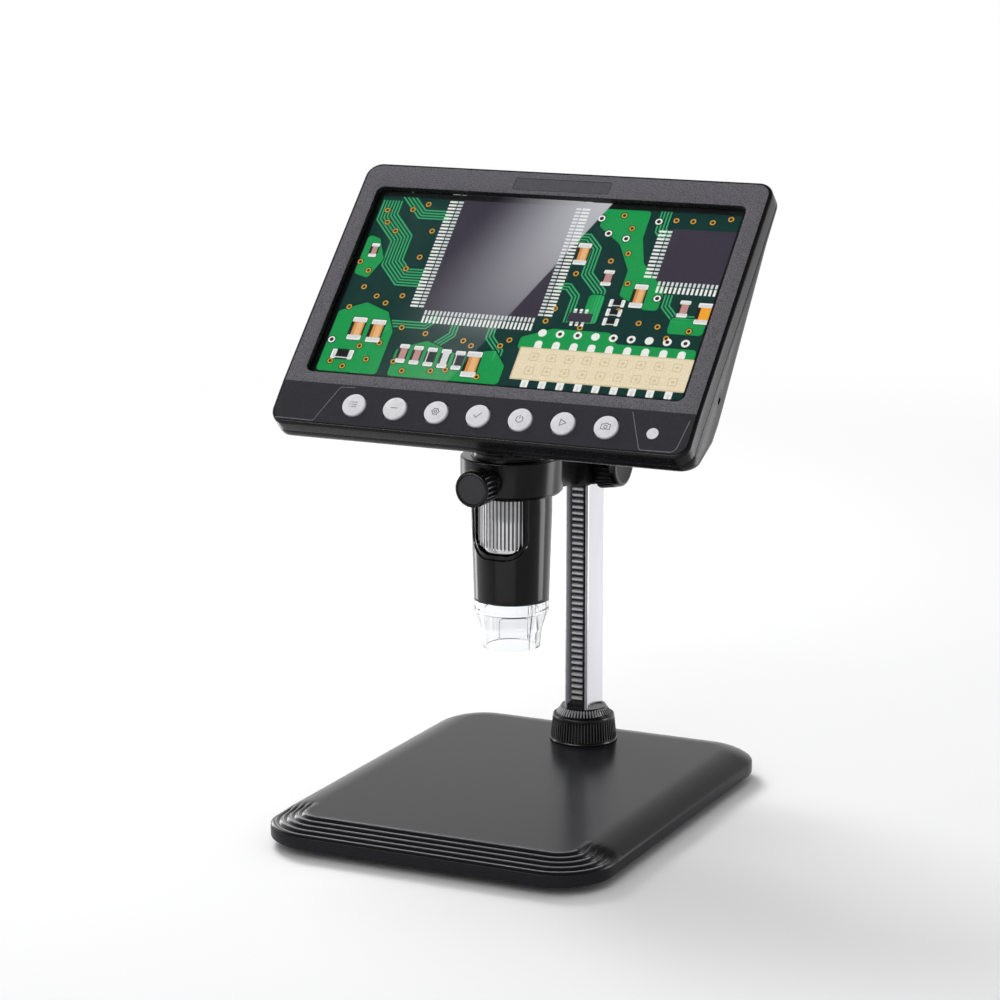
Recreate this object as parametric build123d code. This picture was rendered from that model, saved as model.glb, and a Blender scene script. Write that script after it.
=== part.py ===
from build123d import *
import math
import os

os.makedirs("parts", exist_ok=True)

# A bench microscope: a weighted base, a column with a rack, a carriage that holds a camera
# barrel in a ring, and a display that tilts on the barrel's head.
# Millimetres, +Z up. The origin is the centre of the base footprint on the bench, and the
# operator sits on the -Y side.

# ---- fits and gaps ----
run_gap = 0.08
press_gap = 0.02
move_gap = 0.4
seam_gap = 0.15

# ---- base ----
base_width = 141.5
base_depth = 182.5
base_corner = 22.0
foot_height = 3.8
foot_radius = 8.0
foot_inset_x = 24.25
foot_inset_y = 18.0
edge_height = 8.6
deck_height = 13.2
shoulder_width = 14.2
shoulder_steps = 4
cover_wall = 2.4
pan_thickness = 2.0
ballast_inset_x = 19.0
ballast_inset_y = 17.0
ballast_thickness = 3.0
ballast_corner = 10.0
terrace_count = 5
terrace_pitch = 2.9
terrace_inset = 0.8
terrace_fade = 30.0
terrace_flare = 2.0
base_boss_radius = 4.0
base_boss_inset = 9.5
base_screw_radius = 1.4
base_screw_head = 2.8
base_screw_head_height = 1.5

# ---- column, rack and lock collar ----
column_inset = 28.35
column_width = 10.2
column_depth = 16.4
column_corner = 0.8
column_top = 178.0
column_lip = 1.2
slot_depth = 4.9
socket_radius = 15.0
socket_floor = 2.0
spigot_radius = 10.9
column_bolt_radius = 2.5
column_bolt_head = 4.5
column_bolt_depth = 14.0
collar_radius_low = 14.0
collar_radius_high = 12.9
collar_top = 24.3
collar_lip = 0.9
collar_rim = 1.0
collar_rib_depth = 0.6
collar_ribs = 80
collet_height = 3.45
collet_top_radius = 9.2
collet_recess_radius = 7.9
collet_recess_depth = 2.2
collet_tongue_rise = 2.0
collet_groove = 0.7
collet_teeth = 52
collet_sink = 2.8
cap_height = 2.4
cap_chamfer = 0.7
cap_plug = 5.0

# ---- rack and pinion ----
gear_module = 0.8
pinion_teeth = 12
pressure_angle = 20.0
rack_addendum = 0.5
pinion_addendum = 0.66
tooth_root_gap = 0.2
backlash = 0.14
pinion_width = 6.4
rack_clear = 1.5
rack_recess = 1.05
shaft_radius = 2.5

# ---- carriage and ring ----
carriage_bottom = 125.2
carriage_height = 21.8
carriage_width = 24.8
carriage_reach = 10.75
carriage_rear_wall = 4.9
carriage_corner = 2.0
bush_wall = 1.2
bush_height_low = 2.4
bush_height_high = 7.0
pinion_height = 133.7
barrel_y = -7.25
ring_radius = 19.9
ring_bottom = 131.2
ring_height = 14.4
ring_chamfer = 1.2
arm_width = 18.0
arm_flange = 8.0
arm_low_rise = 0.6
arm_knee = 3.0
arm_knee_drop = 2.4
arm_screw_radius = 1.5
arm_screw_head = 2.8
arm_screw_bite = 6.0
arm_screw_low = 3.3
arm_screw_high = 4.5

# ---- knobs ----
knob_gap = 0.6
knob_length = 9.4
knob_radius_inner = 11.2
knob_radius_outer = 10.2
knob_face = 2.4
knob_face_taper = 1.2
knob_ribs = 34
knob_rib_depth = 0.8
knob_bore_depth = 6.0
clamp_boss_radius = 5.2
clamp_boss_length = 5.4
clamp_screw_radius = 2.0
clamp_knob_radius = 7.1
clamp_knob_length = 10.2
clamp_knob_face = 5.8
clamp_knob_dish = 0.5
clamp_knob_rim = 0.8
clamp_rim_step = 0.2
clamp_knob_ribs = 22
clamp_knob_rib_depth = 0.7
clamp_knob_bore = 6.0
insert_wall = 1.2

# ---- barrel ----
barrel_radius = 15.75
barrel_tip_radius = 14.65
barrel_bottom = 88.8
barrel_taper_top = 124.0
barrel_top = 147.5
neck_radius = 15.3
neck_rise = 0.6
barrel_wall = 1.65
nose_socket_radius = 12.4
nose_socket_depth = 5.4
guide_radius = 10.2
wheel_bottom = 107.3
wheel_height = 22.6
wheel_radius = 13.2
wheel_flute_pitch = 1.6
wheel_flute_depth = 0.5
wheel_collar = 3.2
wheel_round = 0.8
wheel_room = 0.35
window_width = 21.0
window_bottom = 108.2
window_corner = 7.0
window_rim = 1.5
window_rim_depth = 0.6
holder_thickness = 2.2
sensor_window = 5.9
sensor_size = 7.6
sensor_height = 1.4
sensor_board_size = 19.0
board_thickness = 1.2
head_flange = 2.5
head_plug = 4.5
head_plug_wall = 2.0
carrier_bottom = 99.0
carrier_height = 26.4
lens_radius = 7.4
lens_thickness = 3.0
lens_seat = 1.0
lens_sag = 0.7
retainer_height = 1.8
led_hole_radius = 5.6
led_count = 8
led_circle = 8.9
led_radius = 1.3
led_height = 1.6

# ---- clear nose cap ----
nose_length = 19.2
nose_top_radius = 14.65
nose_step = 4.4
nose_ledge = 0.5
nose_ledge_drop = 0.3
nose_mid_radius = 11.9
nose_mid = 12.0
nose_end_radius = 11.2
nose_wall = 1.3
nose_spigot = 3.4

# ---- display unit, measured from the middle of the bezel opening ----
display_lean = 44.1
display_y = 3.85
display_z = 208.5
case_width = 175.0
bezel_top = 12.2
case_corner = 6.5
case_wall = 2.2
front_fillet = 1.4
seam_depth = 7.0
bezel_side = 8.5
opening_height = 90.4
opening_corner = 2.8
glass_recess = 2.3
glass_thickness = 1.0
glass_margin = 3.4
back_top_depth = 8.0
back_bevel = 4.2
back_bevel_depth = 9.5
back_deep_depth = 20.5
back_deep_from = 28.3
back_flat = 9.0
back_curve_depth = 16.1
back_curve_from = 7.3
back_bottom_depth = 12.2
fascia_angle = 3.0
fascia_wall = 2.4
fascia_margin = 5.25
fascia_height = 18.85
panel_thickness = 0.5
panel_top_drop = 1.6
panel_bottom_rise = 1.9
panel_bottom_inset = 19.5
panel_top_inset = 26.5
nameplate_width = 41.0
nameplate_height = 5.6
nameplate_rise = 5.2
nameplate_thickness = 0.4
nameplate_corner = 0.6
nameplate_sink = 0.05

# ---- buttons and controls ----
button_radius = 4.75
button_ring_gap = 0.4
button_side = 34.79
button_drop = 8.85
button_rise = 1.0
button_edge = 0.45
button_flange_radius = 5.9
button_flange = 0.8
button_stem_radius = 1.5
button_stem = 1.2
button_travel = 0.8
switch_size = 6.0
switch_height = 1.8
button_board_height = 12.0
button_board_end = 2.5
indicator_end = 3.6
board_post_offset = 8.79
board_post_radius = 1.9
indicator_inset = 16.1
indicator_drop = 9.65
indicator_radius = 2.3
indicator_flange = 0.8
indicator_rise = 0.1
dimmer_radius = 6.4
dimmer_thickness = 3.0
dimmer_depth = 14.0
dimmer_drop = 0.85
dimmer_inset = 0.5
dimmer_ribs = 30
dimmer_rib_depth = 0.4
dimmer_axle = 1.2
pot_size = 7.0
pot_depth = 3.2

# ---- inside the display unit ----
lcd_side_margin = 2.5
lcd_end_margin = 3.3
panel_cell = 1.1
backlight_thickness = 3.2
frame_thickness = 0.8
frame_inset_low = 2.5
frame_inset_high = 8.5
frame_margin = 3.0
standoff_height = 2.4
standoff_radius = 2.2
main_board_inset = 6.5
main_board_gap = 6.0
main_board_rise = 1.2
main_board_height = 38.0
chip_height = 1.2
chips = ((-20.0, 19.0, 14.0), (8.0, 16.0, 9.0), (-46.0, 17.0, 8.0))
battery_inset = 9.5
battery_width = 42.0
battery_thickness = 5.0
usb_width = 7.6
usb_height = 2.7
usb_length = 5.4
usb_rise = 12.0
card_width = 12.0
card_height = 1.9
card_length = 13.0
card_setback = 0.6
card_rise = 24.0
port_clear = 0.3
case_screw_radius = 1.2
case_screw_head = 2.3
case_screw_head_height = 1.4
case_screw_recess = 2.4
case_screw_roof = 0.6
case_screw_spare = 0.4
case_boss_radius = 2.8
case_screw_inset = 8.5
case_screw_mid = 30.0
case_screw_drop = 5.4
case_screw_rise = 6.8
clamp_rib = 1.6
clamp_rib_inset_top = 4.0
clamp_rib_inset = 21.5
reset_hole_rise = 8.2
reset_hole_depth = 12.3
reset_hole_width = 1.6
reset_hole_height = 2.8

# ---- tilt hinge ----
knuckle_radius = 4.8
knuckle_width = 14.4
knuckle_neck = 0.6
pin_radius = 2.0
pin_head_radius = 3.2
pin_head = 1.2
washer_thickness = 0.6
washer_radius = 4.2
ear_thickness = 3.4
hinge_pad = 0.4
bracket_plate = 1.8
bracket_width = 38.0
bracket_length = 15.0
bracket_screw_radius = 1.2
bracket_screw_head = 2.2
bracket_screw_height = 1.2
bracket_screw_depth = 3.4
bracket_screw_spare = 0.4
bracket_boss = 4.4
bracket_screw_margin = 3.2

lowest = (Align.CENTER, Align.CENTER, Align.MIN)


def rod(radius, low, high, x=0.0, y=0.0):
    return Pos(x, y, low) * Cylinder(radius, high - low, align=lowest)


def cone(radius_low, radius_high, low, high):
    return Pos(0, 0, low) * Cone(radius_low, radius_high, high - low, align=lowest)


def tube(outer, inner, low, high, x=0.0, y=0.0):
    return rod(outer, low, high, x, y) - rod(inner, low, high, x, y)


def block(x0, x1, y0, y1, z0, z1):
    middle = Pos((x0 + x1) / 2, (y0 + y1) / 2, (z0 + z1) / 2)
    return middle * Box(x1 - x0, y1 - y0, z1 - z0)


def slab(width, depth, corner, low, high, y=0.0):
    return Pos(0, y, low) * extrude(RectangleRounded(width, depth, corner), high - low)


def fluted(radius, depth, count, low, high):
    """A rod with straight trapezoid ribs along it."""
    points = []
    for rib in range(count):
        for share, reach in ((0.0, radius - depth), (0.3, radius - depth), (0.45, radius), (0.85, radius)):
            turn = 2 * math.pi * (rib + share) / count
            points.append((reach * math.cos(turn), reach * math.sin(turn)))
    return Pos(0, 0, low) * extrude(Polygon(*points, align=None), high - low)


def spun(points, y=0.0):
    """A solid of revolution about a vertical axis from (radius, height) points."""
    face = make_face(Plane.XZ * Polyline(*points, close=True))
    return Pos(0, y, 0) * revolve(face, Axis.Z)


def screw(radius, length, head_radius, head_height):
    """A screw along +Z: the head is below the origin and the shank above it."""
    return rod(head_radius, -head_height, 0) + rod(radius, 0, length)


def save(name, shape):
    export_step(shape, os.path.join("parts", name + ".step"))


# ======== base ========
pan_top = foot_height + pan_thickness
base_half_x = base_width / 2
base_half_y = base_depth / 2
column_y = base_half_y - column_inset


def base_form(inset, low, edge, deck):
    """The base's outer form: a wall, then a shoulder on a quarter ellipse up to the deck."""
    form = slab(base_width - 2 * inset, base_depth - 2 * inset, base_corner - inset, low, edge)
    for step in range(shoulder_steps):
        rings = []
        for k in (step, step + 1):
            turn = math.pi / 2 * k / shoulder_steps
            pull = inset + shoulder_width * (1 - math.cos(turn))
            outline = RectangleRounded(base_width - 2 * pull, base_depth - 2 * pull, base_corner - pull)
            rings.append(Pos(0, 0, edge + (deck - edge) * math.sin(turn)) * outline)
        form += loft(rings, ruled=True)
    return form


def terrace(index):
    """A tread of the stepped ribs: it follows the front edge and its corners, and its sides
    flare out past the base so that the step fades into the shoulder."""
    pull = terrace_inset + terrace_pitch * index
    corner = base_corner - pull
    half = base_half_x - pull
    front = -base_half_y + pull
    flare = base_half_x + terrace_flare
    tail = front + corner + terrace_fade
    outline = Line((half - corner, front), (corner - half, front))
    outline += RadiusArc((corner - half, front), (-half, front + corner), corner)
    outline += Polyline((-half, front + corner), (-flare, tail), (-flare, base_half_y), (flare, base_half_y),
                        (flare, tail), (half, front + corner))
    outline += RadiusArc((half, front + corner), (half - corner, front), corner)
    rise = (deck_height - edge_height) / terrace_count
    return extrude(make_face(outline), edge_height + rise * index)


boss_spots = []
for side in (-1, 1):
    for row in (-1, 0, 1):
        x = side * (base_half_x - base_boss_inset)
        y = row * (base_half_y - base_boss_inset - shoulder_width)
        boss_spots.append((x, y))
foot_spots = []
for side in (-1, 1):
    for end in (-1, 1):
        foot_spots.append((side * (base_half_x - foot_inset_x), end * (base_half_y - foot_inset_y)))

outer_form = base_form(0.0, foot_height, edge_height, deck_height)
inner_deck = deck_height - cover_wall
treads = slab(base_width, base_depth, base_corner, 0, edge_height)
for index in range(1, terrace_count + 1):
    treads += terrace(index)
outer_form &= treads
base_cover = outer_form - base_form(cover_wall, foot_height, edge_height - cover_wall, inner_deck)
for x, y in boss_spots:
    base_cover += rod(base_boss_radius, pan_top, deck_height, x, y) & outer_form
for x, y in boss_spots:
    base_cover -= rod(base_screw_radius + press_gap, pan_top, edge_height, x, y)
base_cover -= rod(spigot_radius + seam_gap, foot_height, deck_height, 0, column_y)
save("base_cover", base_cover)

pan_inset = 2 * (cover_wall + seam_gap)
pan_corner = base_corner - pan_inset / 2
base_pan = slab(base_width - pan_inset, base_depth - pan_inset, pan_corner, foot_height, pan_top)
for x, y in boss_spots:
    base_pan -= rod(base_screw_radius + press_gap, foot_height, pan_top, x, y)
base_pan -= rod(column_bolt_radius + press_gap, foot_height, pan_top, 0, column_y)
save("base_pan", base_pan)

ballast_width = base_width - 2 * ballast_inset_x
ballast_depth = base_depth - 2 * ballast_inset_y
ballast_plate = slab(ballast_width, ballast_depth, ballast_corner, pan_top, pan_top + ballast_thickness)
ballast_plate -= rod(socket_radius + seam_gap, pan_top, deck_height, 0, column_y)
save("ballast_plate", ballast_plate)

base_feet = Part() + [rod(foot_radius, 0, foot_height, x, y) for x, y in foot_spots]
save("base_feet", base_feet)

base_screw = screw(base_screw_radius, edge_height - foot_height, base_screw_head, base_screw_head_height)
base_screws = Part() + [Pos(x, y, foot_height) * base_screw for x, y in boss_spots]
save("base_screws", base_screws)

# ======== column ========
column_low = pan_top + socket_floor
column_front = column_y - column_depth / 2
column_back = column_y + column_depth / 2
slot_half = column_width / 2 - column_lip
slot_back = column_front + slot_depth
spigot_top = collar_top - collet_sink
collet_low_radius = collar_radius_high - collar_lip - move_gap
collet_top = collar_top + collet_height
tongue_top = collet_top + collet_tongue_rise

column_outline = Pos(0, column_y) * RectangleRounded(column_width, column_depth, column_corner)
column_hole = Pos(0, column_y) * Rectangle(column_width + 2 * press_gap, column_depth + 2 * press_gap)
column = Pos(0, 0, column_low) * extrude(column_outline, column_top - column_low)
column -= block(-slot_half, slot_half, column_front - 1, slot_back, column_low, column_top)
column -= rod(column_bolt_radius + press_gap, column_low, column_low + column_bolt_depth, 0, column_y)
column -= rod(column_bolt_radius + press_gap, column_top - cap_plug, column_top, 0, column_y)
save("column", column)

column_cap = Pos(0, 0, column_top) * extrude(column_outline, cap_height)
column_cap = chamfer(column_cap.faces().sort_by(Axis.Z)[-1].edges(), cap_chamfer)
column_cap += rod(column_bolt_radius, column_top - cap_plug + 1, column_top, 0, column_y)
save("column_cap", column_cap)

column_socket = rod(socket_radius, pan_top, inner_deck, 0, column_y)
column_socket += rod(spigot_radius, inner_deck, spigot_top, 0, column_y)
column_socket -= Pos(0, 0, column_low) * extrude(column_hole, spigot_top - column_low)
column_socket -= rod(column_bolt_radius + press_gap, pan_top, column_low, 0, column_y)
save("column_socket", column_socket)

bolt_length = column_low - foot_height + column_bolt_depth - 1
column_bolt = Pos(0, column_y, foot_height) * screw(
    column_bolt_radius, bolt_length, column_bolt_head, base_screw_head_height)
save("column_bolt", column_bolt)

collet = rod(collet_low_radius, spigot_top, collar_top)
collet_cone = cone(collet_low_radius, collet_top_radius, collar_top, collet_top)
groove_low = collet_low_radius - collet_groove
groove_high = collet_top_radius - collet_groove
groove_cone = cone(groove_low, groove_high, collar_top, collet_top)
collet_ribs = fluted(collet_low_radius + 1, collet_low_radius - 1, collet_teeth, collar_top, collet_top)
collet += (collet_cone & collet_ribs) + groove_cone
column_collet = Pos(0, column_y, 0) * collet
column_collet -= Pos(0, 0, spigot_top) * extrude(column_hole, collet_top - spigot_top)
column_collet -= rod(collet_recess_radius, collet_top - collet_recess_depth, collet_top, 0, column_y)
tongue_back = slot_back - press_gap
column_collet += block(-slot_half, slot_half, column_front - 1, tongue_back, spigot_top, collar_top)
column_collet += block(-slot_half, slot_half, column_front, tongue_back, collar_top, tongue_top)
save("column_collet", column_collet)

collar_low = deck_height + move_gap / 2
collar_form = cone(collar_radius_low, collar_radius_high, collar_low, collar_top)
collar = collar_form & fluted(collar_radius_low, collar_rib_depth, collar_ribs, collar_low, collar_top)
collar += tube(collar_radius_low, spigot_radius + 1, collar_low, collar_low + collar_rim)
collar -= rod(spigot_radius + run_gap, collar_low, collar_top)
collar -= rod(collet_low_radius + move_gap, spigot_top - move_gap, collar_top)
save("lock_collar", Pos(0, column_y, 0) * collar)

# ======== rack and pinion ========
pitch = math.pi * gear_module
pitch_radius = gear_module * pinion_teeth / 2
rack_line = column_front + rack_recess + rack_addendum
pinion_y = rack_line - pitch_radius
slope = math.tan(math.radians(pressure_angle))
rack_dedendum = pinion_addendum + tooth_root_gap
rack_low = tongue_top
rack_high = column_top - 1
half_tooth = (pitch - backlash) / 4

rack_points = [(slot_back, rack_low), (rack_line + rack_dedendum, rack_low)]
first_tooth = math.ceil((rack_low - pinion_height + half_tooth + 1) / pitch - 0.5)
last_tooth = math.floor((rack_high - pinion_height - half_tooth - 1) / pitch - 0.5)
for tooth in range(first_tooth, last_tooth + 1):
    middle = pinion_height + (tooth + 0.5) * pitch
    root = half_tooth + rack_dedendum * slope
    tip = half_tooth - rack_addendum * slope
    rack_points.append((rack_line + rack_dedendum, middle - root))
    rack_points.append((rack_line - rack_addendum, middle - tip))
    rack_points.append((rack_line - rack_addendum, middle + tip))
    rack_points.append((rack_line + rack_dedendum, middle + root))
rack_points += [(rack_line + rack_dedendum, rack_high), (slot_back, rack_high)]
rack_half = slot_half - rack_clear
rack_face = make_face(Plane.YZ * Polyline(*rack_points, close=True))
rack = extrude(rack_face, rack_half, dir=(1, 0, 0), both=True)
save("rack", rack)

base_radius = pitch_radius * math.cos(math.radians(pressure_angle))
pinion_tip = pitch_radius + pinion_addendum
pinion_root = pitch_radius - rack_addendum - tooth_root_gap


def involute_turn(radius):
    """Half the angle that a pinion tooth spans at this radius."""
    at_pitch = math.radians(pressure_angle)
    at_radius = math.acos(min(1.0, base_radius / radius))
    flank = math.tan(at_pitch) - at_pitch - math.tan(at_radius) + at_radius
    return half_tooth / pitch_radius + flank


flank_radii = [base_radius + (pinion_tip - base_radius) * k / 5 for k in range(6)]
flank = [(pinion_root, involute_turn(base_radius))]
flank += [(radius, involute_turn(radius)) for radius in flank_radii]
pinion_points = []
for tooth in range(pinion_teeth):
    centre = 2 * math.pi * tooth / pinion_teeth
    for radius, turn in flank:
        pinion_points.append((radius * math.cos(centre - turn), radius * math.sin(centre - turn)))
    for radius, turn in reversed(flank):
        pinion_points.append((radius * math.cos(centre + turn), radius * math.sin(centre + turn)))

# The pinion's plane has +Y as its first direction, so that a tooth points at the rack.
across = Plane(origin=(0, pinion_y, pinion_height), x_dir=(0, 1, 0), z_dir=(1, 0, 0)).location
pinion = Pos(0, 0, -pinion_width / 2) * extrude(Polygon(*pinion_points, align=None), pinion_width)
pinion -= rod(shaft_radius + press_gap, -pinion_width / 2, pinion_width / 2)
save("pinion", across * pinion)

# ======== carriage ========
carriage_half = carriage_width / 2
carriage_front = column_front - carriage_reach
carriage_top = carriage_bottom + carriage_height
carriage_back = column_back + bush_wall + carriage_rear_wall
bore_half_x = column_width / 2 + bush_wall
bore_front = column_front - bush_wall
bore_back = column_back + bush_wall
shaft_half = carriage_half + knob_gap + knob_bore_depth

carriage_block = block(-carriage_half, carriage_half, carriage_front, carriage_back,
                       carriage_bottom, carriage_top)
carriage_block = fillet(carriage_block.edges().filter_by(Axis.Z).group_by(Axis.Y)[-1], carriage_corner)
carriage_block -= block(-bore_half_x, bore_half_x, bore_front, bore_back, carriage_bottom, carriage_top)
gear_room = pinion_width / 2 + move_gap
carriage_block -= across * rod(pinion_tip + move_gap, -gear_room, gear_room)
carriage_block -= across * rod(shaft_radius + run_gap, -carriage_half, carriage_half)
screw_heights = (carriage_bottom + arm_screw_low, carriage_top - arm_screw_high)
screw_x = (bore_half_x + carriage_half) / 2
rearward = Plane(origin=(0, 0, 0), x_dir=(1, 0, 0), z_dir=(0, 1, 0)).location
arm_screws = Part()
arm_holes = Part()
head_seat = carriage_back - arm_screw_head
bite_end = carriage_front - arm_screw_bite
for side in (-1, 1):
    for height in screw_heights:
        spot = Pos(side * screw_x, 0, height) * rearward
        arm_screws += spot * rod(arm_screw_radius, bite_end, head_seat)
        arm_screws += spot * rod(arm_screw_head, head_seat, carriage_back)
        arm_holes += spot * rod(arm_screw_radius + press_gap, bite_end, carriage_back)
        arm_holes += spot * rod(arm_screw_head + press_gap, head_seat, carriage_back + 1)
carriage_block -= arm_holes
save("carriage_block", carriage_block)
save("arm_screws", arm_screws)


def bush(low, high):
    ring = block(-bore_half_x, bore_half_x, bore_front, bore_back, low, high)
    inner_x = column_width / 2 + run_gap
    return ring - block(-inner_x, inner_x, column_front - run_gap, column_back + run_gap, low, high)


slide_bushes = bush(carriage_bottom, carriage_bottom + bush_height_low)
slide_bushes += bush(carriage_top - bush_height_high, carriage_top)
save("slide_bushes", slide_bushes)

ring_top = ring_bottom + ring_height
clamp_z = ring_bottom + ring_height / 2
ring_back = barrel_y + ring_radius
clamp_boss_end = barrel_y - ring_radius - clamp_boss_length
ring_bore = barrel_radius + run_gap
arm_root = barrel_y + barrel_radius
arm_low_rear = carriage_bottom + arm_low_rise
ring_low = ring_bottom - arm_knee_drop
arm_points = [(arm_root, ring_bottom), (ring_back, ring_bottom), (ring_back + arm_knee, ring_low),
              (carriage_front, arm_low_rear), (carriage_front, carriage_top), (arm_root, ring_top)]
arm_face = make_face(Plane.YZ * Polyline(*arm_points, close=True))
holder_arm = extrude(arm_face, arm_width / 2, dir=(1, 0, 0), both=True)
holder_arm += block(-carriage_half, carriage_half, carriage_front - arm_flange, carriage_front,
                    arm_low_rear, carriage_top)
ring_form = rod(ring_radius, ring_bottom, ring_top, 0, barrel_y)
ring_form = chamfer(ring_form.edges().group_by(Axis.Z)[0], ring_chamfer)
ring_form = fillet(ring_form.edges().group_by(Axis.Z)[-1], ring_chamfer / 2)
holder_arm += ring_form
forward = Plane(origin=(0, 0, clamp_z), x_dir=(1, 0, 0), z_dir=(0, -1, 0)).location
holder_arm += forward * rod(clamp_boss_radius, -barrel_y, -clamp_boss_end)
holder_arm -= rod(ring_bore, arm_low_rear, carriage_top, 0, barrel_y)
insert_radius = clamp_screw_radius + insert_wall
insert_depth = ring_radius + clamp_boss_length - ring_bore - 1
holder_arm -= forward * rod(insert_radius + press_gap, -clamp_boss_end - insert_depth, -clamp_boss_end)
holder_arm -= forward * rod(clamp_screw_radius + run_gap, -barrel_y, -clamp_boss_end)
holder_arm -= arm_holes
save("holder_arm", holder_arm)

clamp_insert = forward * tube(insert_radius, clamp_screw_radius + run_gap,
                              -clamp_boss_end - insert_depth, -clamp_boss_end)
save("clamp_insert", clamp_insert)

# ======== clamp screw and knob ========
clamp_knob_low = -clamp_boss_end + move_gap
clamp_knob_end = clamp_knob_low + clamp_knob_length
screw_tip = -barrel_y + barrel_radius + move_gap
screw_end = clamp_knob_low + clamp_knob_bore
clamp_screw = forward * rod(clamp_screw_radius, screw_tip, screw_end)
save("clamp_screw", clamp_screw)
clamp_rim_low = clamp_knob_end - clamp_knob_rim
clamp_knob = fluted(clamp_knob_radius, clamp_knob_rib_depth, clamp_knob_ribs, clamp_knob_low, clamp_rim_low)
clamp_knob += rod(clamp_knob_radius - clamp_rim_step, clamp_rim_low, clamp_knob_end)
clamp_knob -= rod(clamp_knob_face, clamp_knob_end - clamp_knob_dish, clamp_knob_end)
clamp_knob -= rod(clamp_screw_radius + press_gap, clamp_knob_low, screw_end)
save("clamp_knob", forward * clamp_knob)

# ======== pinion shaft and focus knobs ========
save("pinion_shaft", across * rod(shaft_radius, -shaft_half, shaft_half))
knob_low = carriage_half + knob_gap
knob_high = knob_low + knob_length
grip_end = knob_high - knob_face
grip = cone(knob_radius_inner, knob_radius_outer, knob_low, grip_end)
grip_core = cone(knob_radius_inner - knob_rib_depth, knob_radius_outer - knob_rib_depth, knob_low, grip_end)
grip_ribs = fluted(knob_radius_inner + 1, knob_radius_inner - 1, knob_ribs, knob_low, grip_end)
knob = (grip & grip_ribs) + grip_core
knob += cone(knob_radius_outer, knob_radius_outer - knob_face_taper, grip_end, knob_high)
knob -= rod(shaft_radius + press_gap, knob_low, shaft_half)
save("focus_knob_right", across * knob)
save("focus_knob_left", mirror(across * knob, about=Plane.YZ))

# ======== barrel ========
wheel_top = wheel_bottom + wheel_height
seat_top = wheel_bottom - wheel_room
holder_low = wheel_top + wheel_room
socket_top = barrel_bottom + nose_socket_depth
chamber_radius = wheel_radius + wheel_room
upper_bore = barrel_radius - barrel_wall
neck_low = ring_top + neck_rise

barrel_points = [
    (barrel_tip_radius, barrel_bottom), (barrel_radius, barrel_taper_top), (barrel_radius, neck_low),
    (neck_radius, neck_low), (neck_radius, barrel_top), (upper_bore, barrel_top), (upper_bore, holder_low),
    (chamber_radius, holder_low), (chamber_radius, seat_top), (guide_radius + run_gap, seat_top),
    (guide_radius + run_gap, socket_top), (nose_socket_radius, socket_top),
    (nose_socket_radius, barrel_bottom)]
barrel_shell = spun(barrel_points)


def window_form(grow, depth_from, depth_to):
    """The finger window's outline, drawn on the front and pushed along -Y."""
    half = window_width / 2 + grow
    low = window_bottom - grow
    top = ring_bottom + ring_chamfer
    face = Pos(0, (low + top) / 2) * Rectangle(2 * half, top - low)
    face = fillet(face.vertices().group_by(Axis.Y)[0], window_corner + grow)
    wall_plane = Plane(origin=(0, -depth_from, 0), x_dir=(1, 0, 0), z_dir=(0, -1, 0))
    return wall_plane.location * extrude(face, depth_to - depth_from)


rim_core = cone(barrel_tip_radius - window_rim_depth, barrel_radius - window_rim_depth,
                barrel_bottom, barrel_taper_top)
rim_core += rod(barrel_radius - window_rim_depth, barrel_taper_top, barrel_top)
window = window_form(0.0, guide_radius / 2, barrel_radius + 1)
rim = window_form(window_rim, guide_radius / 2, barrel_radius + 1) - rim_core
barrel_shell -= [window, rim, Rot(0, 0, 180) * window, Rot(0, 0, 180) * rim]
save("barrel_shell", Pos(0, barrel_y, 0) * barrel_shell)

wheel_flutes = round(2 * math.pi * wheel_radius / wheel_flute_pitch)
flute_low = wheel_bottom + wheel_collar
focus_wheel = fluted(wheel_radius, wheel_flute_depth, wheel_flutes, flute_low, wheel_top)
wheel_foot = rod(wheel_radius, wheel_bottom, flute_low)
focus_wheel += fillet(wheel_foot.edges(), wheel_round)
focus_wheel -= rod(guide_radius + run_gap, wheel_bottom, wheel_top)
save("focus_wheel", Pos(0, barrel_y, 0) * focus_wheel)

carrier_top = carrier_bottom + carrier_height
lens_low = carrier_bottom + retainer_height
lens_high = lens_low + lens_thickness
lens_carrier = spun([
    (guide_radius, carrier_bottom), (guide_radius, carrier_top), (lens_radius, carrier_top),
    (lens_radius - lens_seat, carrier_top - lens_seat), (lens_radius - lens_seat, lens_high),
    (lens_radius + press_gap, lens_high), (lens_radius + press_gap, carrier_bottom)], barrel_y)
save("lens_carrier", lens_carrier)

lens_curve = (lens_radius ** 2 + lens_sag ** 2) / (2 * lens_sag)
lens_dome = Pos(0, 0, lens_low + lens_curve) * Sphere(lens_curve)
objective_lens = rod(lens_radius, lens_low, lens_high) & lens_dome
save("objective_lens", Pos(0, barrel_y, 0) * objective_lens)
save("lens_retainer", tube(lens_radius, lens_radius - lens_seat, carrier_bottom, lens_low, 0, barrel_y))

holder_top = holder_low + holder_thickness
sensor_holder = tube(upper_bore - press_gap, sensor_window, holder_low, holder_top, 0, barrel_y)
save("sensor_holder", sensor_holder)
half_board = sensor_board_size / 2
sensor_board = block(-half_board, half_board, barrel_y - half_board, barrel_y + half_board,
                     holder_top, holder_top + board_thickness)
half_chip = sensor_size / 2
sensor_board += block(-half_chip, half_chip, barrel_y - half_chip, barrel_y + half_chip,
                      holder_top - sensor_height, holder_top)
save("sensor_board", sensor_board)

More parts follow.
